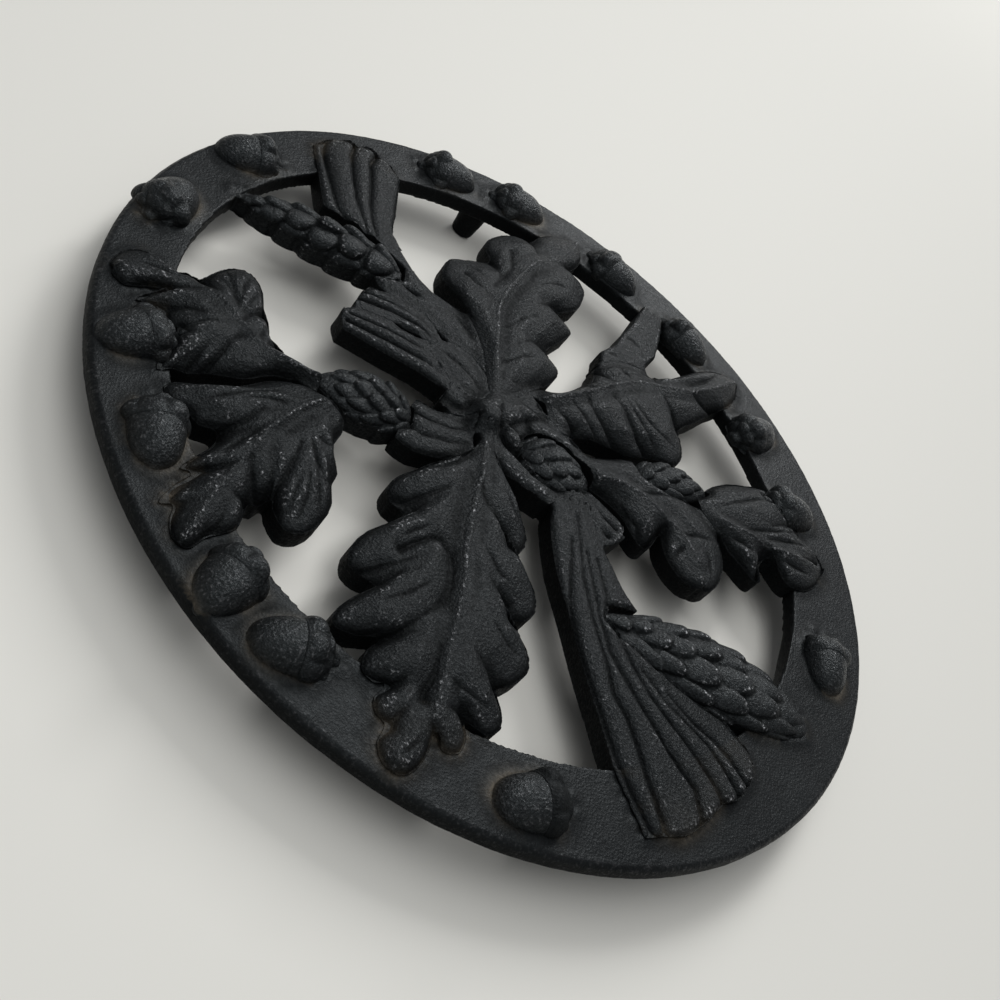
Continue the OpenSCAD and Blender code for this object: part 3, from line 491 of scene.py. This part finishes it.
leaf("left_leaf_upper_lobes", "left_leaf_upper", deep=1.25,
     rib=[(-0.425, -0.289), (-0.457, -0.316), (-0.505, -0.324), (-0.546, -0.333), (-0.585, -0.332),
          (-0.626, -0.315), (-0.663, -0.302), (-0.694, -0.293), (-0.722, -0.29)],
     valleys=[[(-0.812, -0.39), (-0.788, -0.356), (-0.76, -0.32), (-0.736, -0.296)],
              [(-0.772, -0.431), (-0.752, -0.393), (-0.729, -0.37), (-0.698, -0.359)],
              [(-0.676, -0.556), (-0.688, -0.519), (-0.699, -0.483), (-0.71, -0.455)],
              [(-0.637, -0.505), (-0.64, -0.456), (-0.643, -0.431)],
              [(-0.614, -0.48), (-0.614, -0.413), (-0.617, -0.379), (-0.609, -0.35)],
              [(-0.76, -0.255), (-0.735, -0.262), (-0.71, -0.275)],
              [(-0.6, -0.22), (-0.615, -0.249), (-0.63, -0.283), (-0.628, -0.308)],
              [(-0.535, -0.285), (-0.545, -0.3), (-0.56, -0.318)]],
     cuts=[[(-0.735, -0.185), (-0.705, -0.227), (-0.682, -0.248), (-0.661, -0.275),
            (-0.644, -0.294)],
           [(-0.74, -0.225), (-0.708, -0.24), (-0.685, -0.255), (-0.66, -0.285)],
           [(-0.685, -0.155), (-0.678, -0.218), (-0.665, -0.258), (-0.652, -0.286)],
           [(-0.64, -0.185), (-0.645, -0.225), (-0.642, -0.265), (-0.64, -0.295)],
           [(-0.585, -0.274), (-0.578, -0.309), (-0.572, -0.324)],
           [(-0.719, -0.433), (-0.695, -0.404), (-0.673, -0.37), (-0.65, -0.353)],
           [(-0.86, -0.345), (-0.82, -0.325), (-0.77, -0.305)],
           [(-0.84, -0.39), (-0.8, -0.35), (-0.76, -0.33)]])
leaf("left_leaf_lower_lobes", "left_leaf_lower", deep=1.25,
     rib=[(-0.4, -0.36), (-0.423, -0.418), (-0.43, -0.451), (-0.439, -0.488), (-0.445, -0.521),
          (-0.444, -0.589), (-0.445, -0.656), (-0.444, -0.745), (-0.44, -0.788), (-0.435, -0.82)],
     valleys=[[(-0.367, -0.658), (-0.393, -0.646), (-0.414, -0.629), (-0.433, -0.609)],
              [(-0.345, -0.655), (-0.358, -0.641), (-0.363, -0.606), (-0.366, -0.567),
               (-0.373, -0.529), (-0.381, -0.495)],
              [(-0.508, -0.721), (-0.492, -0.693), (-0.471, -0.67), (-0.447, -0.632)],
              [(-0.515, -0.59), (-0.51, -0.57), (-0.491, -0.54), (-0.479, -0.482)],
              [(-0.499, -0.83), (-0.497, -0.77), (-0.486, -0.733)],
              [(-0.385, -0.68), (-0.4, -0.69), (-0.42, -0.7)]],
     cuts=[[(-0.32, -0.659), (-0.326, -0.626), (-0.335, -0.592), (-0.343, -0.556)],
           [(-0.294, -0.664), (-0.3, -0.631), (-0.308, -0.596), (-0.321, -0.566), (-0.343, -0.52)],
           [(-0.261, -0.602), (-0.283, -0.579), (-0.301, -0.554), (-0.344, -0.496),
            (-0.371, -0.472)],
           [(-0.281, -0.51), (-0.301, -0.53), (-0.332, -0.508), (-0.358, -0.487), (-0.375, -0.465)],
           [(-0.319, -0.445), (-0.337, -0.447), (-0.354, -0.453), (-0.372, -0.458)],
           [(-0.453, -0.432), (-0.479, -0.452), (-0.504, -0.474), (-0.527, -0.498)],
           [(-0.47, -0.4), (-0.51, -0.45), (-0.559, -0.534), (-0.59, -0.57)],
           [(-0.413, -0.82), (-0.399, -0.78), (-0.41, -0.74)],
           [(-0.45, -0.5), (-0.47, -0.58), (-0.485, -0.64)]])
leaf("right_leaf_upper_lobes", "right_leaf_upper", deep=1.25,
     rib=[(-0.003, 0.147), (0.047, 0.222), (0.086, 0.29), (0.124, 0.368), (0.168, 0.438),
          (0.218, 0.491), (0.272, 0.537), (0.326, 0.588), (0.37, 0.66), (0.42, 0.76)],
     valleys=[[(0.105, 0.125), (0.094, 0.14), (0.062, 0.145), (0.034, 0.14)],
              [(0.235, 0.2), (0.2, 0.2), (0.15, 0.215), (0.104, 0.234), (0.087, 0.25)],
              [(0.3, 0.255), (0.25, 0.265), (0.211, 0.287), (0.179, 0.311), (0.142, 0.33)],
              [(0.342, 0.435), (0.324, 0.448), (0.299, 0.465), (0.27, 0.48)],
              [(0.068, 0.405), (0.09, 0.395), (0.115, 0.385)],
              [(0.423, 0.634), (0.383, 0.601), (0.349, 0.59), (0.326, 0.588)],
              [(0.205, 0.553), (0.215, 0.54), (0.225, 0.515)]],
     cuts=[[(0.34, 0.34), (0.287, 0.33), (0.25, 0.335), (0.213, 0.347), (0.182, 0.365)],
           [(0.17, 0.17), (0.13, 0.18), (0.08, 0.195), (0.05, 0.2)],
           [(0.31, 0.28), (0.26, 0.3), (0.21, 0.325), (0.165, 0.35)],
           [(0.05, 0.3), (0.07, 0.3), (0.09, 0.3)],
           [(0.12, 0.48), (0.14, 0.46), (0.16, 0.44)],
           [(0.38, 0.76), (0.35, 0.68), (0.31, 0.6)]])
leaf("right_leaf_middle_lobes", "right_leaf_middle", deep=1.25,
     rib=[(0.19, 0.02), (0.225, 0.045), (0.262, 0.06), (0.307, 0.066), (0.352, 0.062), (0.4, 0.056),
          (0.44, 0.045), (0.49, 0.01)],
     valleys=[[(0.37, -0.045), (0.378, -0.01), (0.385, 0.02), (0.39, 0.045)],
              [(0.36, -0.045), (0.326, -0.012), (0.296, -0.002), (0.274, 0.01)]],
     cuts=[[(0.427, 0.047), (0.476, 0.086), (0.514, 0.114)],
           [(0.3, 0.08), (0.35, 0.12), (0.41, 0.17)],
           [(0.43, -0.03), (0.44, 0), (0.45, 0.03)],
           [(0.5, 0.06), (0.52, 0.04), (0.54, 0)]])
leaf("right_leaf_lower_lobes", "right_leaf_lower", deep=1.25,
     rib=[(0.455, 0.175), (0.49, 0.18), (0.528, 0.19), (0.6, 0.212), (0.687, 0.244), (0.74, 0.275),
          (0.787, 0.305)],
     valleys=[[(0.66, 0.13), (0.657, 0.175), (0.655, 0.2), (0.65, 0.225)],
              [(0.735, 0.42), (0.71, 0.39), (0.68, 0.35), (0.65, 0.31)],
              [(0.83, 0.345), (0.8, 0.33), (0.76, 0.3)]],
     cuts=[[(0.582, 0.226), (0.648, 0.287), (0.7, 0.34), (0.732, 0.39)],
           [(0.49, 0.22), (0.53, 0.28), (0.58, 0.35), (0.63, 0.41)],
           [(0.64, 0.25), (0.7, 0.3), (0.77, 0.36)],
           [(0.7, 0.23), (0.74, 0.24), (0.79, 0.26)],
           [(0.55, 0.17), (0.59, 0.175), (0.63, 0.17)]])
leaf("leaf_web", "rim_web", roll=(0.0014, 0.0008),
     ridges=[(0.0011, 0.008, [(0.12, 0.46), (0.14, 0.6), (0.145, 0.8)])],
     cuts=[[(0.07, 0.5), (0.1, 0.52), (0.13, 0.52)], [(0.1, 0.62), (0.12, 0.63), (0.15, 0.62)]])

# Stalks. All the leaves, needles and cones spring from one point, where their rounded stalks run
# together round small hollows.

leaf("stalk_hub", "stem_hub", sunk=0.0021,
     ridges=[(0.0024, 0.0034, [(-0.077, -0.149), (-0.091, -0.108), (-0.105, -0.068),
                               (-0.116, -0.024), (-0.129, 0.028)]),
             (0.0016, 0.0028, [(-0.227, -0.151), (-0.194, -0.132), (-0.162, -0.111),
                               (-0.131, -0.086), (-0.101, -0.063)]),
             (0.0015, 0.0026, [(-0.195, -0.032), (-0.164, -0.039), (-0.108, -0.045)]),
             (0.0017, 0.0044, [(-0.101, -0.063), (-0.085, 0.013), (-0.052, 0.077),
                               (-0.003, 0.147)]),
             (0.0015, 0.005, [(-0.05, 0.02), (0.02, 0.035), (0.09, 0.07)]),
             (0.0021, 0.0021, [(-0.039, -0.041), (-0.021, -0.042), (-0.001, -0.044),
                               (0.021, -0.04)]),
             (0.0019, 0.003, [(-0.081, -0.07), (-0.039, -0.105), (0.008, -0.121), (0.055, -0.133),
                              (0.102, -0.128)])],
     valleys=[[(-0.052, -0.05), (-0.032, -0.067), (-0.012, -0.068), (0.006, -0.064)],
              [(0.004, 0.027), (-0.008, 0.039), (-0.032, 0.047)]])

# Pine needles. They lie in flat fans and tufts, cast as plump ridges side by side with a narrow,
# dark groove between each two.

needle_iron = iron("needle_iron", base=0.008)


def between(left, right, count):
    """Lines that part the space between two sides into as many needles."""
    return [[(a[0] + (b[0] - a[0]) * k / count, a[1] + (b[1] - a[1]) * k / count)
             for a, b in zip(left, right)] for k in range(1, count)]


def evened_top(co, up):
    """The height of a smooth surface laid through the top of a piece."""
    x, y = ((co[:, :2] - co[:, :2].mean(axis=0)) / 0.03).T
    terms = np.column_stack([x ** a * y ** b for a in range(4) for b in range(4 - a)])
    on_top = up > 0.9
    return terms @ np.linalg.lstsq(terms[on_top], co[on_top, 2], rcond=None)[0]


def needles(name, node, grooves, seed, depth=0.0015):
    """A bundle of needles with an even top, parted by narrow grooves that deepen outward."""
    piece, co, normal, meets, up = skinned(name, node, 2)
    lift = evened_top(co, up) - co[:, 2] - rolled_edge(co, normal, meets, 0.0016, 0.0012)
    for line in grooves:
        gap, along = to_line(co, line)
        cut = 0.7 * np.exp(-gap / 0.0005) + 0.3 * np.exp(-(gap / 0.0013) ** 2)
        lift -= depth * (0.4 + 0.6 * along) * cut
    raised(piece, co, normal, lift * up, 0.002, seed)
    joined.append((piece, nearest(co, co[meets], JOIN_REACH), needle_iron, "needle", node))


needles("needle_fan_lower", "lower_needle_fan",
        [[(0.2, -0.2), (0.25, -0.35), (0.307, -0.446), (0.363, -0.513), (0.417, -0.578),
          (0.469, -0.64), (0.513, -0.68), (0.58, -0.736)],
         [(0.19, -0.12), (0.26, -0.28), (0.32, -0.37), (0.369, -0.434), (0.409, -0.501),
          (0.453, -0.533), (0.493, -0.58), (0.53, -0.628), (0.563, -0.664), (0.6, -0.71)],
         [(0.24, -0.2), (0.32, -0.34), (0.37, -0.41), (0.413, -0.445), (0.465, -0.48),
          (0.511, -0.51), (0.556, -0.541), (0.599, -0.564), (0.634, -0.581), (0.67, -0.64)],
         [(0.27, -0.2), (0.35, -0.33), (0.42, -0.4), (0.481, -0.443), (0.53, -0.466),
          (0.58, -0.487), (0.625, -0.509), (0.672, -0.538), (0.71, -0.57)],
         [(0.45, -0.4), (0.521, -0.431), (0.582, -0.441), (0.635, -0.452), (0.679, -0.478),
          (0.735, -0.52)],
         [(0.52, -0.41), (0.594, -0.427), (0.65, -0.43), (0.692, -0.445), (0.75, -0.48)]], 2.0)
needles("needle_fan_upper", "upper_needle_fan",
        [[(-0.6, 0.24), (-0.671, 0.268), (-0.743, 0.36), (-0.795, 0.431), (-0.82, 0.48)],
         [(-0.57, 0.25), (-0.613, 0.298), (-0.653, 0.343), (-0.695, 0.408), (-0.742, 0.489),
          (-0.76, 0.56)],
         [(-0.55, 0.26), (-0.587, 0.308), (-0.62, 0.364), (-0.655, 0.442), (-0.694, 0.516),
          (-0.7, 0.58)]],
        3.0, depth=0.0017)
needles("needle_branch", "upper_left_branch",
        [[(-0.434, 0.171), (-0.417, 0.173), (-0.395, 0.177)], [(-0.551, 0.215), (-0.531, 0.174)],
         [(-0.283, 0.21), (-0.255, 0.194), (-0.23, 0.176)],
         [(-0.393, 0.109), (-0.363, 0.099), (-0.307, 0.073)],
         [(-0.221, 0.112), (-0.2, 0.095), (-0.181, 0.071)]], 4.0)
needles("needle_tuft_upper", "left_tuft_upper",
        between([(-0.28, 0.06), (-0.34, 0.06), (-0.41, 0.035), (-0.485, -0.005)],
                [(-0.29, 0.105), (-0.35, 0.135), (-0.42, 0.125), (-0.485, 0.1)], 3), 5.0)
needles("needle_tuft_lower", "left_tuft_lower",
        between([(-0.2, -0.04), (-0.28, -0.045), (-0.37, -0.068), (-0.47, -0.09)],
                [(-0.22, 0.06), (-0.3, 0.06), (-0.4, 0.035), (-0.485, -0.01)], 3), 6.0)
needles("needle_tuft_hub", "hub_tuft",
        between([(-0.13, -0.02), (-0.17, -0.02), (-0.21, -0.01), (-0.29, 0.03)],
                [(-0.12, 0.045), (-0.175, 0.108), (-0.23, 0.125),
                 (-0.285, 0.095)], 2), 7.0, depth=0.0009)
needles("needle_tuft_right", "right_tuft",
        between([(0.18, -0.01), (0.22, -0.012), (0.26, -0.02), (0.29, -0.03)],
                [(0.15, -0.08), (0.19, -0.12), (0.22, -0.15), (0.265, -0.15)], 3), 8.0)
needles("needle_bract", "left_bract",
        between([(-0.08, -0.19), (-0.13, -0.235), (-0.19, -0.275), (-0.24, -0.275)],
                [(-0.12, -0.07), (-0.16, -0.1), (-0.21, -0.12),
                 (-0.25, -0.13)], 3), 9.0, depth=0.0011)

# Joins. Leaves, stalks and tufts are poured in one, so the metal runs on from each to the next in a
# soft fillet. The level near every join is taken from an even skin laid over all of them, and the
# highest crests are kept down to the height of the casting.

CELL = 0.0005
SPAN = 400
SKIN_BLUR = 2.6
LEVEL_BLUR = 6.0
JOIN_WIDTH = 0.002
HIGH = 0.0176
HEADROOM = 0.0013


def blurred(field, cells):
    """A field over the plan, softened over so many cells."""
    soft = np.exp(-2 * (math.pi * cells * np.fft.fftfreq(SPAN)) ** 2)
    return np.real(np.fft.ifft2(np.fft.fft2(field) * np.outer(soft, soft)))


def levelled(tops, cells):
    """The mean level of the tops round each cell of the plan."""
    return blurred(tops, cells) / np.maximum(blurred((tops > 0).astype(float), cells), 0.001)


def read_off(level, co):
    """The value of a field over the plan at each point."""
    at = np.clip(co[:, :2] / CELL + SPAN / 2 - 0.5, 0, SPAN - 2)
    i, j = np.floor(at).astype(int).T
    u, v = (at - np.floor(at)).T
    return (level[i, j] * (1 - u) * (1 - v) + level[i + 1, j] * u * (1 - v)
            + level[i, j + 1] * (1 - u) * v + level[i + 1, j + 1] * u * v)


tops = np.zeros((SPAN, SPAN))
for piece, *_ in joined:
    co, normal = points_of(piece)
    high = co[normal[:, 2] > 0.3]
    i, j = (np.floor(high[:, :2] / CELL).astype(int) + SPAN // 2).T
    np.maximum.at(tops, (i, j), high[:, 2])
skin = levelled(tops, SKIN_BLUR)
mean = levelled(tops, LEVEL_BLUR)

for piece, gap, material, slot, node in joined:
    co, normal = points_of(piece)
    share = np.exp(-(gap / JOIN_WIDTH) ** 2) * np.clip((normal[:, 2] - 0.1) / 0.3, 0, 1)
    at_join = share > 0.4
    co[:, 2] += share * (read_off(skin, co) - co[:, 2])
    move_points(piece, co)
    group = piece.vertex_groups.new(name="at_join")
    group.add(np.nonzero(at_join)[0].tolist(), 1.0, "REPLACE")
    finished(piece, "SMOOTH", factor=0.5, iterations=15, vertex_group="at_join")
    piece.vertex_groups.clear()
    co, _ = points_of(piece)
    above = np.clip(co[:, 2] - HIGH, 0, None)
    co[:, 2] += HEADROOM * np.tanh(above / HEADROOM) - above
    move_points(piece, co)
    # Points below the mean level round them, and points at joins, are painted darker as shade.
    shade = np.clip(1.1 - (read_off(mean, co) - co[:, 2]) / 0.0009, 0.15, 1)
    placed(piece, material, slot, node, shade=shade * (1 - 0.25 * at_join))

# Pine cones. Each cone is half a spindle on the flat back, with rows of big rounded scales that
# overlap like shingles and open towards its tip.

cone_iron = iron("cone_iron", base=0.0095, worn_and_glint=0.3, sheen=0.2, grit=1.3)


def scale_lattice(rows, across, length, width):
    """Scales in rows, each row half a scale along: place, heading, half length and half width."""
    scales = []
    for i in range(rows):
        for j in range(across + i % 2):
            side = (j + 0.5 - 0.5 * (i % 2)) / across * 2 - 1
            jitter = math.sin(7.3 * i + 4.1 * j + rows)
            scales.append(((i + 0.55 + 0.12 * jitter) / rows, 86 * side, 28 * side + 8 * jitter,
                           length * (1 + 0.1 * jitter), width * (1 - 0.12 * jitter)))
    return scales


def facing_out(piece):
    """Turns every normal of a piece outward."""
    bpy.context.view_layer.objects.active = piece
    bpy.ops.object.mode_set(mode="EDIT")
    bpy.ops.mesh.select_all(action="SELECT")
    bpy.ops.mesh.normals_make_consistent(inside=False)
    bpy.ops.object.mode_set(mode="OBJECT")


def fullness(share, belly):
    """How full a cone is at a share of its length, between 0 at its ends and 1."""
    return np.sin(math.pi * (0.03 + 0.94 * share) ** belly) ** 0.6


def cone(name, node, butt, tip, half_width, height, belly, stand, scales):
    """A half spindle with scales, each given as its share of the length, its turn round the cone
    and its heading in degrees, and its half length and half width in millimetres."""
    bpy.ops.object.select_all(action="DESELECT")
    bpy.ops.mesh.primitive_grid_add(x_subdivisions=180, y_subdivisions=130, size=2.0)
    piece = bpy.context.view_layer.objects.active
    piece.name = name
    bpy.ops.object.mode_set(mode="EDIT")
    bpy.ops.mesh.select_all(action="SELECT")
    bpy.ops.mesh.extrude_region_move(TRANSFORM_OT_translate={"value": (0, 0, -1)})
    bpy.ops.object.mode_set(mode="OBJECT")
    co, _ = points_of(piece)
    floor = co[:, 2] < -0.5
    s = (co[:, 0] + 1) / 2
    turn = math.radians(90) * co[:, 1]
    full = fullness(s, belly)
    butt, tip = RIM_RADIUS * np.array(butt), RIM_RADIUS * np.array(tip)
    length = np.linalg.norm(tip - butt)
    along = (tip - butt) / length
    side = np.array([-along[1], along[0]])
    best = np.zeros(len(co))
    for where, around, heading, half_long, half_wide in scales:
        radius = RIM_RADIUS * half_width * fullness(where, belly)
        a = (s - where) * length * 1000
        b = (turn - math.radians(around)) * radius * 1000
        heading = math.radians(heading)
        p = (a * math.cos(heading) + b * math.sin(heading)) / half_long
        q = (b * math.cos(heading) - a * math.sin(heading)) / half_wide
        q /= 1 - 0.22 * np.clip(p, -1, 1)
        inside = np.clip(1 - np.abs(q) ** 2.3 - np.abs(p * np.where(p > 0, 0.93, 0.8)) ** 2.6, 0, 1)
        best = np.maximum(best, inside ** 0.42 * (0.62 + 0.38 * np.clip(p, -1, 1)))
    bump = stand * (1.5 * best - 0.75) * full ** 0.4
    reach = (RIM_RADIUS * half_width * full + 0.5 * bump - 0.3 * stand) * np.sin(turn)
    plan = butt + np.outer(s, tip - butt) + np.outer(reach, side)
    top = RIM_TOP + (height * full + bump - 0.75 * stand) * np.cos(turn) - 0.0002
    move_points(piece, np.column_stack([plan, np.where(floor, RIM_BACK + 0.0002, top)]))
    facing_out(piece)
    finished(piece, "SMOOTH", factor=0.4, iterations=2)
    co, normal = points_of(piece)
    co += normal * (0.00013 * uneven(co, 0.0022, 3.0) * (co[:, 2] > RIM_TOP))[:, None]
    move_points(piece, co)
    placed(piece, cone_iron, "cone", node)


cone("pine_cone_centre", "cone_centre", (0.003, -0.046), (0.186, 0.008), 0.081, 0.005, 0.8, 0.0011,
     scale_lattice(5, 4, 2.5, 2.0))
cone("pine_cone_left", "cone_left", (-0.235, -0.19), (-0.44, -0.275), 0.078, 0.005, 0.8, 0.0011,
     scale_lattice(6, 4, 2.3, 1.9))
cone("pine_cone_right", "cone_right", (0.275, 0.155), (0.465, 0.285), 0.062, 0.005, 0.8, 0.001,
     scale_lattice(6, 3, 2.4, 1.9))
cone("pine_cone_upper", "cone_upper_left", (-0.445, 0.216), (-0.872, 0.075), 0.068, 0.0059, 0.7,
     0.0019,
     [(0.95, 50, 60, 2.4, 1.3), (0.89, 30, 70, 3.0, 1.6), (0.85, 10, 60, 3.0, 2.1),
      (0.77, 50, 75, 3.5, 2.8), (0.63, 20, 70, 4.2, 3.0), (0.65, 75, 60, 3.0, 2.5),
      (0.49, 52, 75, 3.8, 3.1), (0.33, 25, 80, 4.2, 3.3), (0.46, -15, 40, 3.6, 2.8),
      (0.34, 82, 50, 3.4, 3.0), (0.16, 30, 75, 4.6, 3.3), (0.5, 92, 30, 2.8, 2.4),
      (0.75, -15, 20, 3.4, 2.8), (0.6, -40, 0, 3.6, 2.8), (0.3, -45, -10, 3.8, 3.0),
      (0.82, 78, 50, 2.6, 2.0), (0.12, -30, 0, 3.4, 2.8), (0.45, -75, -30, 3.4, 2.8),
      (0.7, -75, -30, 3.0, 2.6), (0.2, -80, -20, 3.2, 2.8), (0.17, 85, 30, 3.2, 2.6)])
cone("pine_cone_lower", "cone_lower_right", (0.33, -0.32), (0.865, -0.207), 0.105, 0.0059, 1.15,
     0.0015,
     [(0.05, 20, -20, 3.8, 2.0), (0.15, 22, -30, 3.2, 2.4), (0.23, 0, -13, 3.0, 2.8),
      (0.33, 2, -7, 3.4, 2.8), (0.45, 18, 3, 3.4, 2.6), (0.57, 20, -8, 3.6, 2.6),
      (0.2, -50, -18, 4.2, 2.8), (0.29, -40, 5, 3.8, 2.8), (0.43, -22, 0, 4.4, 3.6),
      (0.6, -8, 8, 4.0, 3.2), (0.76, 16, 10, 4.2, 3.0), (0.27, -85, 0, 3.8, 2.6),
      (0.42, -66, 12, 4.8, 3.2), (0.58, -44, 4, 4.5, 3.6), (0.74, -20, 8, 4.4, 3.4),
      (0.9, 8, 12, 4.2, 3.4), (0.7, -66, 3, 4.4, 2.8), (0.85, -46, 9, 4.4, 2.8),
      (0.55, -88, 8, 4.2, 2.6), (0.97, -25, 8, 3.0, 2.6), (0.3, 40, 8, 3.8, 3.0),
      (0.42, 62, 10, 4.0, 3.0), (0.58, 50, 10, 4.2, 3.2), (0.73, 52, 10, 4.2, 3.2),
      (0.5, 84, 16, 4.0, 2.8), (0.68, 84, 16, 4.0, 2.8), (0.88, 45, 16, 3.6, 3.0),
      (0.2, 62, 14, 3.4, 2.6), (0.97, 30, 12, 3.0, 2.6), (0.84, -80, 10, 3.6, 2.4),
      (0.85, 80, 20, 3.4, 2.6)])

# Acorns. Fourteen of them lie on the rim, half sunk in it. Each has a smooth nut that ends in a
# small point, and a cap of coarse lumps with a stub of stalk.

NUT_RADIUS = 0.0057
NUT_LENGTH = 0.0094
CAP_RADIUS = 0.0063
CAP_LENGTH = 0.0066
CAP_LEDGE = 0.0004
LUMP_STAND = 0.0011
LUMPS_ROUND = 7
LUMP_RINGS = 2.2
STUB_LENGTH = 0.0014
SINK = 0.0008

acorn_iron = iron("acorn_iron", base=0.0095, worn_and_glint=0.05, gloss=0.28, sheen=0.22)
acorns = (
    (-0.532, 0.739, 30), (-0.332, 0.844, 25), (-0.008, 0.879, -10), (0.262, 0.822, -22),
    (0.545, 0.663, 55), (0.702, 0.458, 28), (0.886, 0.021, -75), (0.332, -0.846, 217),
    (-0.175, -0.888, 207), (-0.325, -0.855, 262), (-0.595, -0.678, 300), (-0.757, -0.504, 235),
    (-0.927, -0.101, 87), (-0.907, 0.216, 225))


def on_rim(piece, x, y, turn):
    """Lays a piece that was made along +X round the middle of its acorn in its place on the rim."""
    co, _ = points_of(piece)
    co[:, 0] -= (NUT_LENGTH - CAP_LENGTH) / 2
    a = math.radians(turn)
    plan = co[:, :2] @ np.array([[math.cos(a), math.sin(a)], [-math.sin(a), math.cos(a)]])
    z = np.maximum(co[:, 2], -SUNK_IN_RIM) + RIM_TOP
    move_points(piece, np.column_stack([plan + RIM_RADIUS * np.array([x, y]), z]))


for k, (x, y, turn) in enumerate(acorns):
    bpy.ops.object.select_all(action="DESELECT")
    bpy.ops.mesh.primitive_uv_sphere_add(segments=64, ring_count=48, radius=1.0)
    nut = bpy.context.view_layer.objects.active
    nut.name = f"acorn_nut_skin_{k + 1}"
    co, _ = points_of(nut)
    along = co[:, 2].copy()
    around = np.hypot(co[:, 0], co[:, 1])
    wide = NUT_RADIUS * np.clip(around, 0, 1) ** 0.85
    angle = np.arctan2(co[:, 1], co[:, 0])
    point = 0.0007 * np.exp(-(around / 0.16) ** 2) * (along > 0)
    length = np.where(along > 0, NUT_LENGTH * along + point - 0.0003, 0.003 * along)
    co = np.column_stack([length, wide * np.cos(angle), wide * np.sin(angle) - SINK])
    move_points(nut, co)
    on_rim(nut, x, y, turn)
    co, normal = points_of(nut)
    co += normal * (0.00014 * uneven(co, 0.004, 1.0 + k))[:, None]
    move_points(nut, co)
    placed(nut, acorn_iron, "acorn", f"acorn_nut_{k + 1}")

    bpy.ops.object.select_all(action="DESELECT")
    bpy.ops.mesh.primitive_uv_sphere_add(segments=96, ring_count=64, radius=1.0)
    cap = bpy.context.view_layer.objects.active
    cap.name = f"acorn_cap_skin_{k + 1}"
    co, _ = points_of(cap)
    along = -co[:, 2].copy()
    around = np.hypot(co[:, 0], co[:, 1])
    angle = np.arctan2(co[:, 1], co[:, 0])
    front = along < 0
    ring = np.arcsin(np.clip(along, 0, 1)) / (math.pi / 2) * LUMP_RINGS
    line = np.floor(ring)
    v = angle / (2 * math.pi) * LUMPS_ROUND + (line % 2) / 2 + 0.13 * k
    u = ring - line
    lump = np.abs(np.sin(math.pi * v)) ** 0.55 * np.sin(math.pi * np.clip(u, 0, 1)) ** 0.5
    lump *= 0.75 + 0.4 * np.sin(2.3 * np.floor(v) + 4.1 * line + k)
    lump = np.where(front, 0, lump) * np.clip(around * 1.4, 0, 1)
    radius = (CAP_RADIUS - CAP_LEDGE) * np.clip(around, 0, 1) ** 0.9 + LUMP_STAND * lump
    length = np.where(front, -0.0012 * along, -CAP_LENGTH * along * 0.95 - 0.0003 * lump)
    stalk = (around < 0.3) & (along > 0.5)
    length[stalk] -= STUB_LENGTH * np.clip((0.3 - around[stalk]) / 0.08, 0, 1)
    co = np.column_stack([length, radius * np.cos(angle), radius * np.sin(angle) - SINK])
    move_points(cap, co)
    on_rim(cap, x, y, turn)
    facing_out(cap)
    finished(cap, "SMOOTH", factor=0.5, iterations=1)
    placed(cap, acorn_iron, "acorn", f"acorn_cap_{k + 1}")

# Table, light and camera. The trivet stands on a plain pale table in a bright room, with a window
# beyond it. The camera looks down at it from the near side, rolled to the right.

bpy.ops.object.select_all(action="DESELECT")
bpy.ops.mesh.primitive_plane_add(size=6.0, location=(0, 0, 0))
table = bpy.context.view_layer.objects.active
table.name = "table"
table_top = bpy.data.materials.new("table_top")
table_top.use_nodes = True
paint = table_top.node_tree.nodes["Principled BSDF"].inputs
paint["Base Color"].default_value = (0.68, 0.672, 0.63, 1)
paint["Roughness"].default_value = 0.7
paint["Specular IOR Level"].default_value = 0.2
table.data.materials.append(table_top)

room = bpy.data.worlds.new("soft_room")
room.use_nodes = True
glow = room.node_tree.nodes["Background"].inputs
glow["Color"].default_value = (0.95, 0.97, 1.0, 1)
glow["Strength"].default_value = 0.27
bpy.context.scene.world = room


def lamp(name, place, wide, tall, energy, turn=0.0):
    """A rectangular lamp that faces the middle of the trivet."""
    light = bpy.data.lights.new(name, "AREA")
    light.shape = "RECTANGLE"
    light.size = wide
    light.size_y = tall
    light.energy = energy
    holder = bpy.data.objects.new(name, light)
    bpy.context.scene.collection.objects.link(holder)
    holder.location = place
    holder.rotation_euler = (-Vector(place)).to_track_quat("-Z", "Y").to_euler()
    holder.rotation_euler.rotate_axis("Z", math.radians(turn))


lamp("window", (0.13, 1.2, 1.0), 0.4, 0.8, 14.0)
lamp("ceiling", (-0.04, -0.05, 0.48), 0.25, 0.9, 1.6, turn=49)

right = Vector((0.7900815, 0.3385418, 0.5110387))
down = Vector((0.6086352, -0.5325566, -0.5881723))
ahead = Vector((0.0730361, 0.7757403, -0.6268116))
camera = bpy.data.objects.new("camera", bpy.data.cameras.new("camera"))
camera.data.sensor_width = 36.0
camera.data.lens = 45.18
camera.data.shift_x = 0.05
camera.data.shift_y = -0.04
turned = Matrix((right, -down, -ahead)).transposed().to_4x4()
camera.matrix_world = Matrix.Translation((-0.0295, -0.21745, 0.17213)) @ turned
bpy.context.scene.collection.objects.link(camera)
bpy.context.scene.camera = camera
bpy.context.scene.view_settings.view_transform = "Standard"
